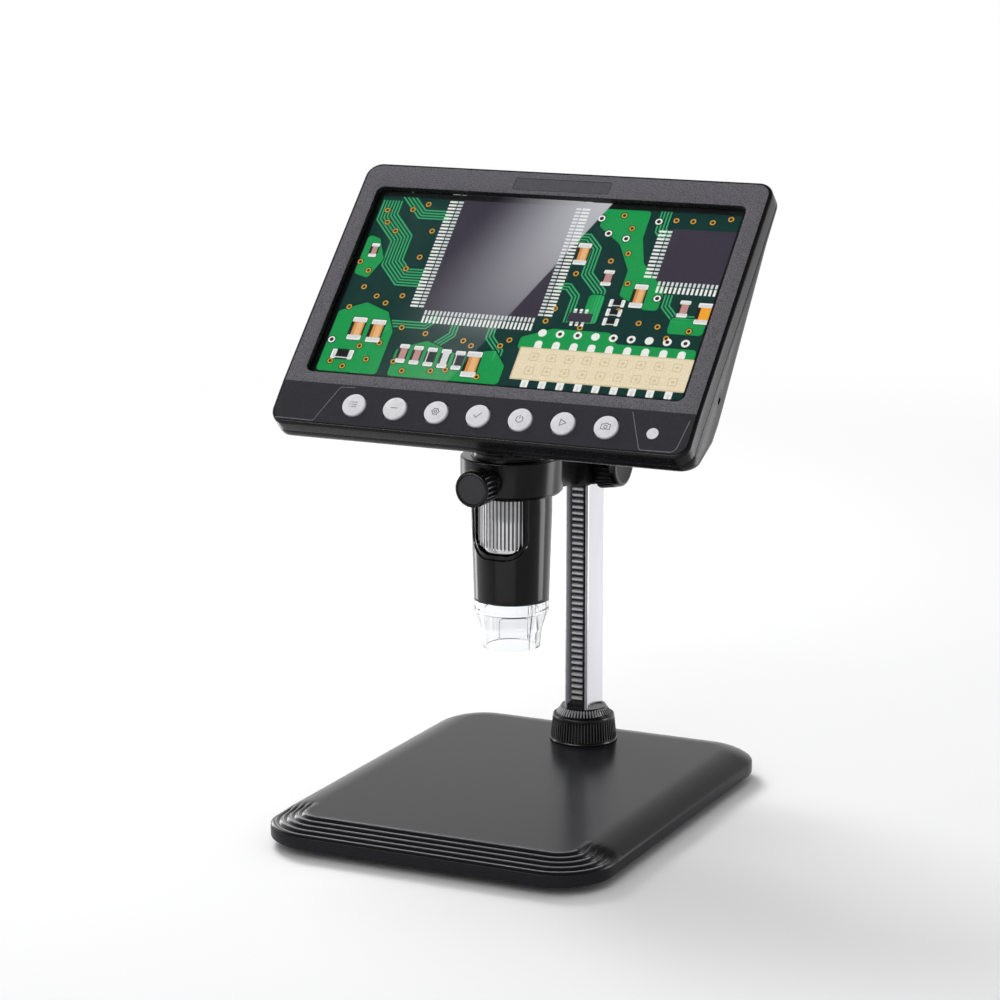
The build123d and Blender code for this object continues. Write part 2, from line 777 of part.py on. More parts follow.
led_low = socket_top - board_thickness
led_board = tube(nose_socket_radius - press_gap, led_hole_radius, led_low, socket_top, 0, barrel_y)
led = rod(led_radius, led_low - led_height, led_low)
led = fillet(led.edges().group_by(Axis.Z)[0], led_radius / 2)
for spot in PolarLocations(led_circle, led_count):
    led_board += Pos(0, barrel_y, 0) * spot * led
save("led_board", led_board)

nose_bottom = barrel_bottom - nose_length
nose_seat = barrel_bottom - seam_gap
spigot_outer = nose_socket_radius - run_gap
spigot_inner = spigot_outer - nose_wall
spigot_end = nose_seat + nose_spigot
step_z = nose_seat - nose_step
ledge_z = step_z - nose_ledge_drop
mid_z = barrel_bottom - nose_mid
nose_cap = spun([
    (nose_top_radius, nose_seat), (nose_top_radius, step_z), (nose_top_radius - nose_ledge, ledge_z),
    (nose_mid_radius, mid_z), (nose_end_radius, nose_bottom), (nose_end_radius - nose_wall, nose_bottom),
    (nose_mid_radius - nose_wall, mid_z), (spigot_inner, step_z), (spigot_inner, spigot_end),
    (spigot_outer, spigot_end), (spigot_outer, nose_seat)], barrel_y)
save("nose_cap", nose_cap)

# ======== display unit: the case ========
lean = math.radians(display_lean)
display = Plane(origin=(0, display_y, display_z), x_dir=(1, 0, 0),
                z_dir=(0, -math.cos(lean), math.sin(lean))).location
opening_half = opening_height / 2
opening_width = case_width - 2 * bezel_side
fascia_top = -opening_half - fascia_margin
case_top = opening_half + bezel_top
case_bottom = fascia_top - fascia_height
case_height = case_top - case_bottom
case_middle = (case_top + case_bottom) / 2
case_half = case_width / 2
nameplate_s = opening_half + nameplate_rise
dimmer_s = fascia_top - dimmer_drop
lcd_half_x = opening_width / 2 + lcd_side_margin
lcd_half_s = opening_half + lcd_end_margin
frame_low = -lcd_half_s + frame_inset_low
frame_high = lcd_half_s - frame_inset_high
main_board_low = -opening_half + main_board_rise
main_board_high = main_board_low + main_board_height
usb_s = main_board_low + usb_rise
card_s = main_board_low + card_rise
reset_hole_s = main_board_low + reset_hole_rise
fascia = Location((0, fascia_top, 0)) * Location((0, 0, 0), (fascia_angle, 0, 0))


def case_prism(inset, depth_from, depth_to):
    """A slab of the case's outline between two depths behind the front face."""
    outline = RectangleRounded(case_width - 2 * inset, case_height - 2 * inset, case_corner - inset)
    return Pos(0, case_middle, -depth_to) * extrude(outline, depth_to - depth_from)


def opening_prism(width, height, corner, depth_from, depth_to):
    return Pos(0, 0, -depth_to) * extrude(RectangleRounded(width, height, corner), depth_to - depth_from)


def local_block(x0, x1, s0, s1, depth_from, depth_to):
    return block(x0, x1, s0, s1, -depth_to, -depth_from)


deep_top = case_bottom + back_deep_from
back_profile = [
    (case_top, back_top_depth), (case_top - back_bevel, back_bevel_depth),
    (deep_top, back_deep_depth), (deep_top - back_flat, back_deep_depth),
    (case_bottom + back_curve_from, back_curve_depth), (case_bottom, back_bottom_depth)]


def back_depth(s):
    """The case's depth at height s on its back profile."""
    for (high_s, high_depth), (low_s, low_depth) in zip(back_profile, back_profile[1:]):
        if low_s <= s <= high_s:
            share = (high_s - s) / (high_s - low_s)
            return high_depth + share * (low_depth - high_depth)
    return back_bottom_depth


def back_wedge(inset):
    """The back profile pushed across the case's width, pulled in by a wall."""
    points = [(case_top, 0)] + back_profile + [(case_bottom, 0)]
    face = make_face(Plane.YZ * Polyline(*[(s, -depth) for s, depth in points], close=True))
    if inset > 0:
        face = offset(face, -inset, kind=Kind.INTERSECTION)
    return extrude(face, case_half - inset, dir=(1, 0, 0), both=True)


glass_back = glass_recess + glass_thickness
cell_back = glass_back + panel_cell
light_back = cell_back + backlight_thickness
frame_back = light_back + frame_thickness
board_front = frame_back + standoff_height
board_back = board_front + board_thickness

case_screw_side = case_half - case_screw_inset
case_screw_top = case_top - case_screw_drop
case_screw_low = case_bottom + case_screw_rise
case_spots = []
for side in (-1, 1):
    case_spots.append((side * case_screw_side, case_screw_low))
    case_spots.append((side * case_screw_side, case_screw_top))
    case_spots.append((side * case_screw_mid, case_screw_top))
button_names = ["menu", "minus", "settings", "confirm", "power", "play", "camera"]
last_button = (len(button_names) - 1) / 2
button_pitch = (case_half - button_side) / last_button
button_spots = []
for index in range(len(button_names)):
    button_spots.append(((index - last_button) * button_pitch, -button_drop))
board_post_x = last_button * button_pitch + board_post_offset
indicator_x = case_half - indicator_inset

flange_top = -fascia_wall - seam_gap / 2
flange_low = flange_top - button_flange
stem_low = flange_low - button_stem
switch_top = stem_low - button_travel - seam_gap
board_top = switch_top - switch_height

front_bezel = case_prism(0, 0, seam_depth)
wedge_reach = case_bottom - fascia_top - 4
wedge_cut = fascia * block(-case_half - 1, case_half + 1, wedge_reach, 0, 0, seam_depth)
front_bezel -= wedge_cut
rim_edges = [edge for edge in front_bezel.edges() if edge.center().Z > -seam_depth / 2
             and (abs(edge.center().X) > case_half - case_corner or edge.center().Y > case_top - 1
                  or edge.center().Y < case_bottom + case_corner)
             and edge.bounding_box().min.Z > -front_fillet]
front_bezel = fillet(rim_edges, front_fillet)
cavity = case_prism(case_wall, glass_recess, seam_depth)
cavity &= local_block(-case_half, case_half, fascia_top, case_top, 0, seam_depth)
fascia_cavity = fascia * block(-case_half, case_half, wedge_reach, 0, -2 * seam_depth, -fascia_wall)
fascia_cavity &= case_prism(case_wall, 0, seam_depth)
front_bezel -= [cavity, fascia_cavity]
front_bezel -= opening_prism(opening_width, opening_height, opening_corner, -1, seam_depth)

panel_half_top = case_half - panel_top_inset
panel_half_low = case_half - panel_bottom_inset
panel_low = case_bottom + panel_bottom_rise - fascia_top


def panel_form(grow, depth):
    """The button zone's tapered outline, as a thin plate in the fascia's face."""
    face = make_face(Polyline(
        (-panel_half_top, -panel_top_drop), (panel_half_top, -panel_top_drop),
        (panel_half_low, panel_low), (-panel_half_low, panel_low), close=True))
    if grow > 0:
        face = offset(face, grow)
    return Pos(0, 0, -depth) * extrude(face, depth)


front_bezel -= fascia * panel_form(seam_gap, panel_thickness)
pocket_width = nameplate_width + 2 * seam_gap
pocket_height = nameplate_height + 2 * seam_gap
pocket_outline = RectangleRounded(pocket_width, pocket_height, nameplate_corner + seam_gap)
pocket = Pos(0, nameplate_s, -nameplate_thickness) * extrude(pocket_outline, nameplate_thickness)
front_bezel -= pocket
for x, s in case_spots:
    front_bezel += rod(case_boss_radius, -seam_depth, -glass_recess, x, s)
for side in (-1, 1):
    post = rod(board_post_radius, board_top, -fascia_wall, side * board_post_x, -button_drop)
    front_bezel += fascia * post
for x, s in button_spots:
    front_bezel -= fascia * rod(button_radius + button_ring_gap, -seam_depth, 1, x, s)
front_bezel -= fascia * rod(indicator_radius + press_gap, -fascia_wall - 1, 1, indicator_x, -indicator_drop)
for x, s in case_spots:
    front_bezel -= rod(case_screw_radius + press_gap, -seam_depth, -glass_recess - case_screw_roof, x, s)
save("front_bezel", display * front_bezel)

control_panel = panel_form(0.0, panel_thickness)
for x, s in button_spots:
    control_panel -= rod(button_radius + button_ring_gap, -seam_depth, 1, x, s)
save("control_panel", display * fascia * control_panel)
plate_outline = RectangleRounded(nameplate_width, nameplate_height, nameplate_corner)
plate_height = nameplate_thickness - nameplate_sink
nameplate = Pos(0, nameplate_s, -nameplate_thickness) * extrude(plate_outline, plate_height)
save("nameplate", display * nameplate)

rear_outer = case_prism(0, 0, back_deep_depth + 2) & back_wedge(0.0)
rear_shell = rear_outer - (case_prism(case_wall, 0, back_deep_depth) & back_wedge(case_wall))
rear_shell &= case_prism(-1, seam_depth, back_deep_depth + 2)

plate_depth = back_deep_depth + hinge_pad
bracket_back = plate_depth + bracket_plate
pin_depth = bracket_back + knuckle_radius + move_gap
pin_s = (barrel_y - display_y - pin_depth * math.cos(lean)) / math.sin(lean)
pin_z = display_z + pin_s * math.cos(lean) - pin_depth * math.sin(lean)
bracket_half = bracket_width / 2
bracket_low = pin_s - bracket_length / 2
bracket_high = pin_s + bracket_length / 2
bracket_spots = []
for side in (-1, 1):
    for end in (bracket_low + bracket_screw_margin, bracket_high - bracket_screw_margin):
        bracket_spots.append((side * (bracket_half - bracket_screw_margin), end))

rear_shell += local_block(-bracket_half, bracket_half, bracket_low, bracket_high,
                          back_deep_depth - case_wall, plate_depth)
for x, s in bracket_spots:
    rear_shell += rod(case_boss_radius, -plate_depth, -back_deep_depth + bracket_boss, x, s)
    hole_end = -plate_depth + bracket_screw_depth
    rear_shell -= rod(bracket_screw_radius + press_gap, -plate_depth, hole_end, x, s)
for x, s in case_spots:
    rear_shell += rod(case_boss_radius, -back_depth(s), -seam_depth, x, s) & rear_outer
for x, s in case_spots:
    depth = back_depth(s)
    rear_shell -= rod(case_screw_radius + press_gap, -depth, -seam_depth, x, s)
    seat = -depth + case_screw_recess
    rear_shell -= rod(case_screw_head + press_gap, -depth - case_screw_recess, seat, x, s)
for side in (-1, 1):
    rib_x = side * (case_half - clamp_rib_inset)
    rib = local_block(rib_x - clamp_rib / 2, rib_x + clamp_rib / 2, 0, frame_high - clamp_rib_inset_top,
                      frame_back, back_deep_depth)
    rear_shell += rib & rear_outer

dimmer_x = case_half - dimmer_inset - dimmer_radius
dimmer_front = dimmer_depth - dimmer_thickness / 2
dimmer_back = dimmer_depth + dimmer_thickness / 2
room_back = -dimmer_back - move_gap
room_front = -dimmer_front + move_gap
rear_shell -= rod(dimmer_radius + move_gap, room_back, room_front, dimmer_x, dimmer_s)
usb_low = board_back
card_low = board_back


def side_hole(side, s, half_height, depth_from, depth_to):
    """A hole through one side wall of the case, at height s."""
    ends = sorted((side * (case_half - case_wall - 1), side * (case_half + 1)))
    return local_block(ends[0], ends[1], s - half_height, s + half_height, depth_from, depth_to)


rear_shell -= side_hole(-1, usb_s, usb_width / 2 + port_clear, usb_low - port_clear,
                        usb_low + usb_height + port_clear)
rear_shell -= side_hole(-1, card_s, card_width / 2 + port_clear, card_low - port_clear,
                        card_low + card_height + port_clear)
reset_front = reset_hole_depth - reset_hole_width / 2
rear_shell -= side_hole(1, reset_hole_s, reset_hole_height / 2, reset_front, reset_front + reset_hole_width)
save("rear_shell", display * rear_shell)

display_screws = Part()
for x, s in case_spots:
    seat = -back_depth(s) + case_screw_recess
    shank = -glass_recess - case_screw_roof - case_screw_spare - seat
    display_screws += Pos(x, s, seat) * screw(
        case_screw_radius, shank, case_screw_head, case_screw_head_height)

# ======== display unit: screen stack and electronics ========
glass_half_x = opening_width / 2 + glass_margin
glass_half_s = opening_half + glass_margin
save("cover_glass", display * local_block(-glass_half_x, glass_half_x, -glass_half_s, glass_half_s,
                                          glass_recess, glass_back))
save("lcd_panel", display * local_block(-lcd_half_x, lcd_half_x, -lcd_half_s, lcd_half_s,
                                        glass_back, cell_back))
save("backlight_unit", display * local_block(-lcd_half_x, lcd_half_x, -lcd_half_s, lcd_half_s,
                                             cell_back, light_back))

battery_left = case_half - battery_inset - battery_width
main_board_left = -case_half + main_board_inset
main_board_right = battery_left - main_board_gap

frame_half = lcd_half_x - frame_margin
support_frame = local_block(-frame_half, frame_half, frame_low, frame_high,
                            light_back, frame_back)
standoff_spots = []
for x in (main_board_left + frame_margin + standoff_radius, main_board_right - standoff_radius - 1):
    for s in (main_board_low + standoff_radius + 1, main_board_high - standoff_radius - 1):
        standoff_spots.append((x, s))
for x, s in standoff_spots:
    support_frame += rod(standoff_radius, -board_front, -frame_back, x, s)
    support_frame -= rod(case_screw_radius + press_gap, -board_front, -frame_back, x, s)
save("support_frame", display * support_frame)

main_board = local_block(main_board_left, main_board_right, main_board_low, main_board_high,
                         board_front, board_back)
for x, s in standoff_spots:
    main_board -= rod(case_screw_radius + press_gap, -board_back, -board_front, x, s)
for x, rise, size in chips:
    s = main_board_low + rise
    main_board += local_block(x - size / 2, x + size / 2, s - size / 2, s + size / 2,
                              board_back, board_back + chip_height)
save("main_board", display * main_board)

battery_back = frame_back + battery_thickness
save("battery", display * local_block(battery_left, battery_left + battery_width, main_board_low + 2,
                                      main_board_high, frame_back, battery_back))
port_x = -case_half + case_wall / 2
usb_half = usb_width / 2
save("usb_port", display * local_block(port_x, port_x + usb_length, usb_s - usb_half, usb_s + usb_half,
                                       usb_low, usb_low + usb_height))
save("card_slot", display * local_block(port_x + card_setback, port_x + card_length, card_s - card_width / 2,
                                        card_s + card_width / 2, card_low, card_low + card_height))

# ======== display unit: buttons and dimmer ========
button = rod(button_radius, flange_top, button_rise)
button = fillet(button.edges().group_by(Axis.Z)[-1], button_edge)
button += rod(button_flange_radius, flange_low, flange_top)
button += rod(button_stem_radius, stem_low, flange_low)
for name, (x, s) in zip(button_names, button_spots):
    save("button_" + name, display * fascia * Pos(x, s, 0) * button)

button_board_left = -board_post_x - button_board_end
button_board_right = indicator_x + indicator_end
button_board = block(button_board_left, button_board_right, -button_drop - button_board_height / 2,
                     -button_drop + button_board_height / 2, board_top - board_thickness, board_top)
half_switch = switch_size / 2
for x, s in button_spots:
    button_board += block(x - half_switch, x + half_switch, s - half_switch, s + half_switch,
                          board_top, switch_top)
save("button_board", display * fascia * button_board)
indicator_wide = indicator_radius + indicator_flange
indicator = rod(indicator_radius, -fascia_wall, indicator_rise, indicator_x, -indicator_drop)
indicator += rod(indicator_wide, -fascia_wall - indicator_flange, -fascia_wall, indicator_x, -indicator_drop)
save("indicator_lens", display * fascia * indicator)

for x, s in standoff_spots:
    display_screws += Pos(x, s, -board_back) * screw(
        case_screw_radius, standoff_height, case_screw_head, chip_height)

dimmer = fluted(dimmer_radius, dimmer_rib_depth, dimmer_ribs, -dimmer_back, -dimmer_front)
dimmer -= rod(dimmer_axle + run_gap, -dimmer_back, -dimmer_front)
save("dimmer_wheel", display * Pos(dimmer_x, dimmer_s, 0) * dimmer)
pot_back = dimmer_front - move_gap
half_pot = pot_size / 2
dimmer_pot = block(-half_pot, half_pot, -half_pot, half_pot, -pot_back, -pot_back + pot_depth)
dimmer_pot += rod(dimmer_axle, -dimmer_back, -pot_back)
save("dimmer_pot", display * Pos(dimmer_x, dimmer_s, 0) * dimmer_pot)

# ======== tilt hinge ========
half_knuckle = knuckle_width / 2
washer_low = half_knuckle + run_gap
ear_low = washer_low + washer_thickness
ear_high = ear_low + ear_thickness
sideways = Location((0, pin_s, -pin_depth)) * Location((0, 0, 0), (0, 90, 0))

hinge_bracket = local_block(-bracket_half, bracket_half, bracket_low, bracket_high, plate_depth, bracket_back)
for side in (-1, 1):
    x0 = min(side * ear_low, side * ear_high)
    x1 = max(side * ear_low, side * ear_high)
    hinge_bracket += local_block(x0, x1, pin_s - knuckle_radius, pin_s + knuckle_radius,
                                 plate_depth, pin_depth)
    hinge_bracket += sideways * rod(knuckle_radius, x0, x1)
hinge_bracket -= sideways * rod(pin_radius + press_gap, -ear_high, ear_high)
for x, s in bracket_spots:
    hinge_bracket -= rod(bracket_screw_radius + press_gap, -bracket_back, -plate_depth, x, s)
save("hinge_bracket", display * hinge_bracket)

hinge_pin = rod(pin_radius, -ear_high, ear_high)
hinge_pin += rod(pin_head_radius, ear_high, ear_high + pin_head)
hinge_pin += rod(pin_head_radius, -ear_high - pin_head, -ear_high)
save("hinge_pin", display * sideways * hinge_pin)
hinge_washers = tube(washer_radius, pin_radius + press_gap, washer_low, ear_low)
hinge_washers += tube(washer_radius, pin_radius + press_gap, -ear_low, -washer_low)
save("hinge_washers", display * sideways * hinge_washers)
bracket_shank = bracket_plate + bracket_screw_depth - bracket_screw_spare
for x, s in bracket_spots:
    display_screws += Pos(x, s, -bracket_back) * screw(
        bracket_screw_radius, bracket_shank, bracket_screw_head, bracket_screw_height)
save("display_screws", display * display_screws)

head_top = barrel_top + head_flange
barrel_head = rod(neck_radius, barrel_top, head_top)
barrel_head += tube(upper_bore - press_gap, upper_bore - head_plug_wall, barrel_top - head_plug, barrel_top)
neck_half = knuckle_radius - knuckle_neck
barrel_head += block(-half_knuckle, half_knuckle, -neck_half, neck_half, head_top, pin_z)
knuckle = Plane(origin=(0, 0, pin_z), x_dir=(0, 1, 0), z_dir=(1, 0, 0)).location
barrel_head += knuckle * rod(knuckle_radius, -half_knuckle, half_knuckle)
barrel_head -= knuckle * rod(pin_radius + run_gap, -half_knuckle, half_knuckle)
save("barrel_head", Pos(0, barrel_y, 0) * barrel_head)

print("pinion axis y", round(pinion_y, 3), "hinge pin z", round(pin_z, 3))
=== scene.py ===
import math

import bmesh
import bpy
import numpy as np
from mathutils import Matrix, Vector


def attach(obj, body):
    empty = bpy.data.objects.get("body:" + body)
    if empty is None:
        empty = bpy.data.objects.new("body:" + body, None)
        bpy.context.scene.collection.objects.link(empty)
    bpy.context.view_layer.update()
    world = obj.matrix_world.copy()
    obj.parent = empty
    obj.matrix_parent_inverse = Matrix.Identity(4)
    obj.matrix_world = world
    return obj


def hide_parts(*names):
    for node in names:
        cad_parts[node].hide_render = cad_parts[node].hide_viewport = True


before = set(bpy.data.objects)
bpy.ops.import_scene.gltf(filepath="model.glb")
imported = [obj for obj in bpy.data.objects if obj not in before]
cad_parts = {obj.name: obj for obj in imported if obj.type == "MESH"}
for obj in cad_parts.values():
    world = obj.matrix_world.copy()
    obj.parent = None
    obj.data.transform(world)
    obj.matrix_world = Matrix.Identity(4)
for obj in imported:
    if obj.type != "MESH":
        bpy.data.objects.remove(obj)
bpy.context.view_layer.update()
print("frame loaded with", len(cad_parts), "nodes")

mm = 0.001  # every shape below is worked out in millimetres
fullTurn = 2 * math.pi


# An sRGB hex colour as the linear values that a shader takes.
def linearColour(hexText):
    shares = np.array([int(hexText[k:k + 2], 16) / 255 for k in (1, 3, 5)])
    linear = np.where(shares <= 0.04045, shares / 12.92, ((shares + 0.055) / 1.055) ** 2.4)
    return (*linear.tolist(), 1.0)


# Adds a node with its settings. An input is given a value, or a socket that it is linked to.
def addNode(tree, kind, inputs=None, **settings):
    node = tree.nodes.new(kind)
    for key, value in settings.items():
        setattr(node, key, value)
    for key, value in (inputs or {}).items():
        if isinstance(value, bpy.types.NodeSocket):
            tree.links.new(value, node.inputs[key])
        else:
            node.inputs[key].default_value = value
    return node


# A material with one Principled shader, whose plain sockets are set from the keywords.
def newMaterial(name, **sockets):
    material = bpy.data.materials.new(name)
    material.use_nodes = True
    tree = material.node_tree
    tree.nodes.clear()
    shader = addNode(tree, "ShaderNodeBsdfPrincipled", sockets)
    addNode(tree, "ShaderNodeOutputMaterial", {"Surface": shader.outputs["BSDF"]})
    return material, tree, shader


# Fine noise in object space: grain is the size of one speckle in millimetres, and a small stretch
# along an axis draws the speckles out into streaks that way.
def grainNoise(tree, grain, detail=2.0, stretch=(1, 1, 1)):
    place = addNode(tree, "ShaderNodeTexCoord")
    drawn = addNode(tree, "ShaderNodeMapping", {"Vector": place.outputs["Object"], "Scale": stretch})
    return addNode(tree, "ShaderNodeTexNoise", {
        "Vector": drawn.outputs["Vector"], "Scale": 1 / (grain * mm), "Detail": detail})


# Links a grain to the colour, roughness and bump of a shader; depth is the bump's height in millimetres.
def addGrain(tree, shader, grain, light, dark, roughness, depth):
    tone = addNode(tree, "ShaderNodeValToRGB", {"Fac": grain.outputs["Fac"]})
    first, last = tone.color_ramp.elements
    first.position, last.position = 0.35, 0.65  # most of the noise lies between these
    first.color, last.color = linearColour(dark), linearColour(light)
    tree.links.new(tone.outputs["Color"], shader.inputs["Base Color"])
    gloss = addNode(tree, "ShaderNodeMapRange", {
        "Value": grain.outputs["Fac"], "To Min": roughness[0], "To Max": roughness[1]})
    tree.links.new(gloss.outputs["Result"], shader.inputs["Roughness"])
    if depth > 0:
        bump = addNode(tree, "ShaderNodeBump", {
            "Height": grain.outputs["Fac"], "Strength": 1.0, "Distance": depth * mm})
        tree.links.new(bump.outputs["Normal"], shader.inputs["Normal"])


# Spark-eroded moulds, matt rubber and powder coats: a fine sand texture that scatters the light.
def sandedFinish(name, light, dark, grain, roughness, depth, specular=0.2):
    material, tree, shader = newMaterial(name, **{"Specular IOR Level": specular})
    addGrain(tree, shader, grainNoise(tree, grain), light, dark, roughness, depth)
    return material


# Smooth moulds, lacquers and prints: an even tone, with a faint long-wave unevenness of the gloss.
def satinFinish(name, light, dark, grain, roughness, depth, specular=0.25):
    material, tree, shader = newMaterial(name, **{"Specular IOR Level": specular})
    addGrain(tree, shader, grainNoise(tree, grain, 4.0), light, dark, roughness, depth)
    return material


# Turned or brushed metal: streaks along one direction, no colour of its own beside the metal's.
def brushedMetal(name, light, dark, roughness, stretch, grain, depth=0.002):
    material, tree, shader = newMaterial(name, Metallic=1.0)
    addGrain(tree, shader, grainNoise(tree, grain, 3.0, stretch), light, dark, roughness, depth)
    return material


# A frame of reference: an origin and the three directions that local x, y and z point in.
def axes(origin, xDir, yDir, zDir):
    return np.array([origin, xDir, yDir, zDir], float)


def placed(points, place):
    return place[0] + np.asarray(points) @ place[1:]


# Faces of a grid of points, rows by columns: quad = (r, c), (r, c+1), (r+1, c+1), (r+1, c).
def gridFaces(rows, columns, wrapRows, wrapColumns=True):
    index = np.arange(rows * columns).reshape(rows, columns)
    if wrapColumns:
        index = np.concatenate([index, index[:, :1]], axis=1)
    if wrapRows:
        index = np.concatenate([index, index[:1]], axis=0)
    quads = np.stack([index[:-1, :-1], index[:-1, 1:], index[1:, 1:], index[1:, :-1]], axis=-1)
    return quads.reshape(-1, 4)


# Smooth shading with the edges sharper than an angle kept hard.
def shadeByAngle(mesh, angle):
    mesh.shade_smooth()
    mesh.set_sharp_from_angle(angle=math.radians(angle))


# A mesh from points in millimetres, with doubles merged and faces turned outwards.
def makePiece(name, points, faces, sharpAngle=32.0, slots=None):
    mesh = bpy.data.meshes.new(name)
    mesh.from_pydata((np.asarray(points).reshape(-1, 3) * mm).tolist(), [], faces)
    if slots is not None:
        mesh.polygons.foreach_set("material_index", slots)
    cleaner = bmesh.new()
    cleaner.from_mesh(mesh)
    bmesh.ops.remove_doubles(cleaner, verts=cleaner.verts, dist=1e-6)
    bmesh.ops.dissolve_degenerate(cleaner, edges=cleaner.edges, dist=1e-7)
    bmesh.ops.recalc_face_normals(cleaner, faces=cleaner.faces)
    cleaner.to_mesh(mesh)
    cleaner.free()
    shadeByAngle(mesh, sharpAngle)
    piece = bpy.data.objects.new(name, mesh)
    bpy.context.scene.collection.objects.link(piece)
    return piece


# A grid as a piece: open ends of the rows are closed with one face each.
def gridPiece(name, grid, place=None, wrapRows=False, capEnds=True, sharpAngle=32.0, slots=None):
    rows, columns = grid.shape[:2]
    points = grid if place is None else placed(grid, place)
    faces = gridFaces(rows, columns, wrapRows).tolist()
    if capEnds and not wrapRows:
        faces.append(list(range(columns)))
        faces.append(list(range((rows - 1) * columns, rows * columns)))
    return makePiece(name, points, faces, sharpAngle, slots)


# Rounds a path's corners: each gives way to an arc of its radius, tangent to its two runs.
def roundedPath(points, radii, steps=5, closed=False):
    points = [np.array(point, float) for point in points]
    count = len(points)
    made = []
    for k, point in enumerate(points):
        radius = radii[k] if hasattr(radii, "__len__") else radii
        if radius <= 0 or (not closed and k in (0, count - 1)):
            made.append(point)
            continue
        back, ahead = points[k - 1] - point, points[(k + 1) % count] - point
        back, ahead = back / np.linalg.norm(back), ahead / np.linalg.norm(ahead)
        halfTurn = math.acos(max(-1.0, min(1.0, float(back @ ahead)))) / 2
        middle = (back + ahead) / np.linalg.norm(back + ahead)
        centre = point + middle * radius / math.sin(halfTurn)
        start = point + back * radius / math.tan(halfTurn) - centre
        end = point + ahead * radius / math.tan(halfTurn) - centre
        sweep = math.pi - 2 * halfTurn
        for share in np.linspace(0, 1, steps + 1):
            weights = math.sin((1 - share) * sweep), math.sin(share * sweep)
            made.append(centre + (start * weights[0] + end * weights[1]) / math.sin(sweep))
    return np.array(made)


# A rectangle with rounded corners, from its low to its high corner.
def roundedBox(x0, y0, x1, y1, radius, steps):
    return roundedPath([(x0, y0), (x1, y0), (x1, y1), (x0, y1)], radius, steps, closed=True)


# Turned surface: point = (radius cos a, radius sin a, height), a from 0 to a full turn.
# Radius and height may change with the angle, one row for each point of the outline.
def turnedGrid(radius, height, angles):
    radius, height = np.broadcast_arrays(radius, height)
    shape = (radius.shape[0], len(angles))
    radius = np.broadcast_to(radius, shape)
    height = np.broadcast_to(height, shape)
    return np.stack([radius * np.cos(angles), radius * np.sin(angles), height], axis=-1)


def evenAngles(count):
    return np.arange(count) * fullTurn / count


# A turned piece from an outline of (radius, height) points that starts and ends on the axis.
def turnedPiece(name, outline, place, segments):
    grid = turnedGrid(outline[:, :1], outline[:, 1:], evenAngles(segments))
    return gridPiece(name, grid, place, capEnds=False)


# Ribs round a body: 1 on the ribs, 0 in the grooves, with flanks that rise over a share of the pitch.
def ribWave(angles, count, grooveShare, flankShare):
    phase = (angles * count / fullTurn) % 1.0
    fromGroove = 0.5 - np.abs(phase - 0.5)
    rise = np.clip((fromGroove - grooveShare / 2) / flankShare, 0, 1)
    return rise * rise * (3 - 2 * rise)


# 0 up to low, 1 from high on, and a soft rise between them.
def smoothStep(low, high, value):
    share = np.clip((value - low) / (high - low), 0, 1)
    return share * share * (3 - 2 * share)


# A plain box from its low to its high corner.
def boxPiece(name, low, high, place):
    corners = np.array([[x, y, z] for z in (0, 1) for y in (0, 1) for x in (0, 1)], float)
    points = np.array(low) + corners * (np.array(high) - np.array(low))
    faces = [[0, 2, 3, 1], [4, 5, 7, 6], [0, 1, 5, 4], [2, 6, 7, 3], [0, 4, 6, 2], [1, 3, 7, 5]]
    return makePiece(name, placed(points, place), faces)


# Breaks every hard edge with a small round, as moulding and deburring do.
def breakEdges(piece, width, segments=2, angle=32.0):
    modifier = piece.modifiers.new("brokenEdges", "BEVEL")
    modifier.limit_method = "ANGLE"
    modifier.angle_limit = math.radians(angle)
    modifier.width = width * mm
    modifier.segments = segments
    modifier.harden_normals = True
    return piece


# Cuts the cutters out of a piece and removes them. The materials are there first, so that the cut
# keeps each face's slot.
def cutAway(piece, cutters, sharpAngle, materials=()):
    for material in materials:
        piece.data.materials.append(material)
    for cutter in cutters:
        modifier = piece.modifiers.new("cut", "BOOLEAN")
        modifier.operation = "DIFFERENCE"
        modifier.solver = "EXACT"
        modifier.object = cutter
    graph = bpy.context.evaluated_depsgraph_get()
    mesh = bpy.data.meshes.new_from_object(piece.evaluated_get(graph))
    piece.modifiers.clear()
    old = piece.data
    piece.data = mesh
    bpy.data.meshes.remove(old)
    for cutter in cutters:
        bpy.data.objects.remove(cutter)
    shadeByAngle(piece.data, sharpAngle)


# Several pieces as one mesh.
def joined(name, pieces):
    mesh = bpy.data.meshes.new(name)
    collector = bmesh.new()
    for piece in pieces:
        collector.from_mesh(piece.data)
    collector.to_mesh(mesh)
    collector.free()
    made = bpy.data.objects.new(name, mesh)
    bpy.context.scene.collection.objects.link(made)
    for material in pieces[0].data.materials:
        mesh.materials.append(material)
    for piece in pieces:
        bpy.data.objects.remove(piece)
    return made


# A copy of a construction node's mesh, merged and cleaned of the seams between its flat triangles.
def mergedCopy(name, node):
    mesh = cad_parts[node].data.copy()
    mesh.name = name
    mesh.materials.clear()
    cleaner = bmesh.new()
    cleaner.from_mesh(mesh)
    bmesh.ops.remove_doubles(cleaner, verts=cleaner.verts, dist=3e-6)
    bmesh.ops.dissolve_limit(cleaner, angle_limit=math.radians(0.5), verts=cleaner.verts, edges=cleaner.edges)
    cleaner.to_mesh(mesh)
    cleaner.free()
    shadeByAngle(mesh, 28)
    piece = bpy.data.objects.new(name, mesh)
    bpy.context.scene.collection.objects.link(piece)
    return piece


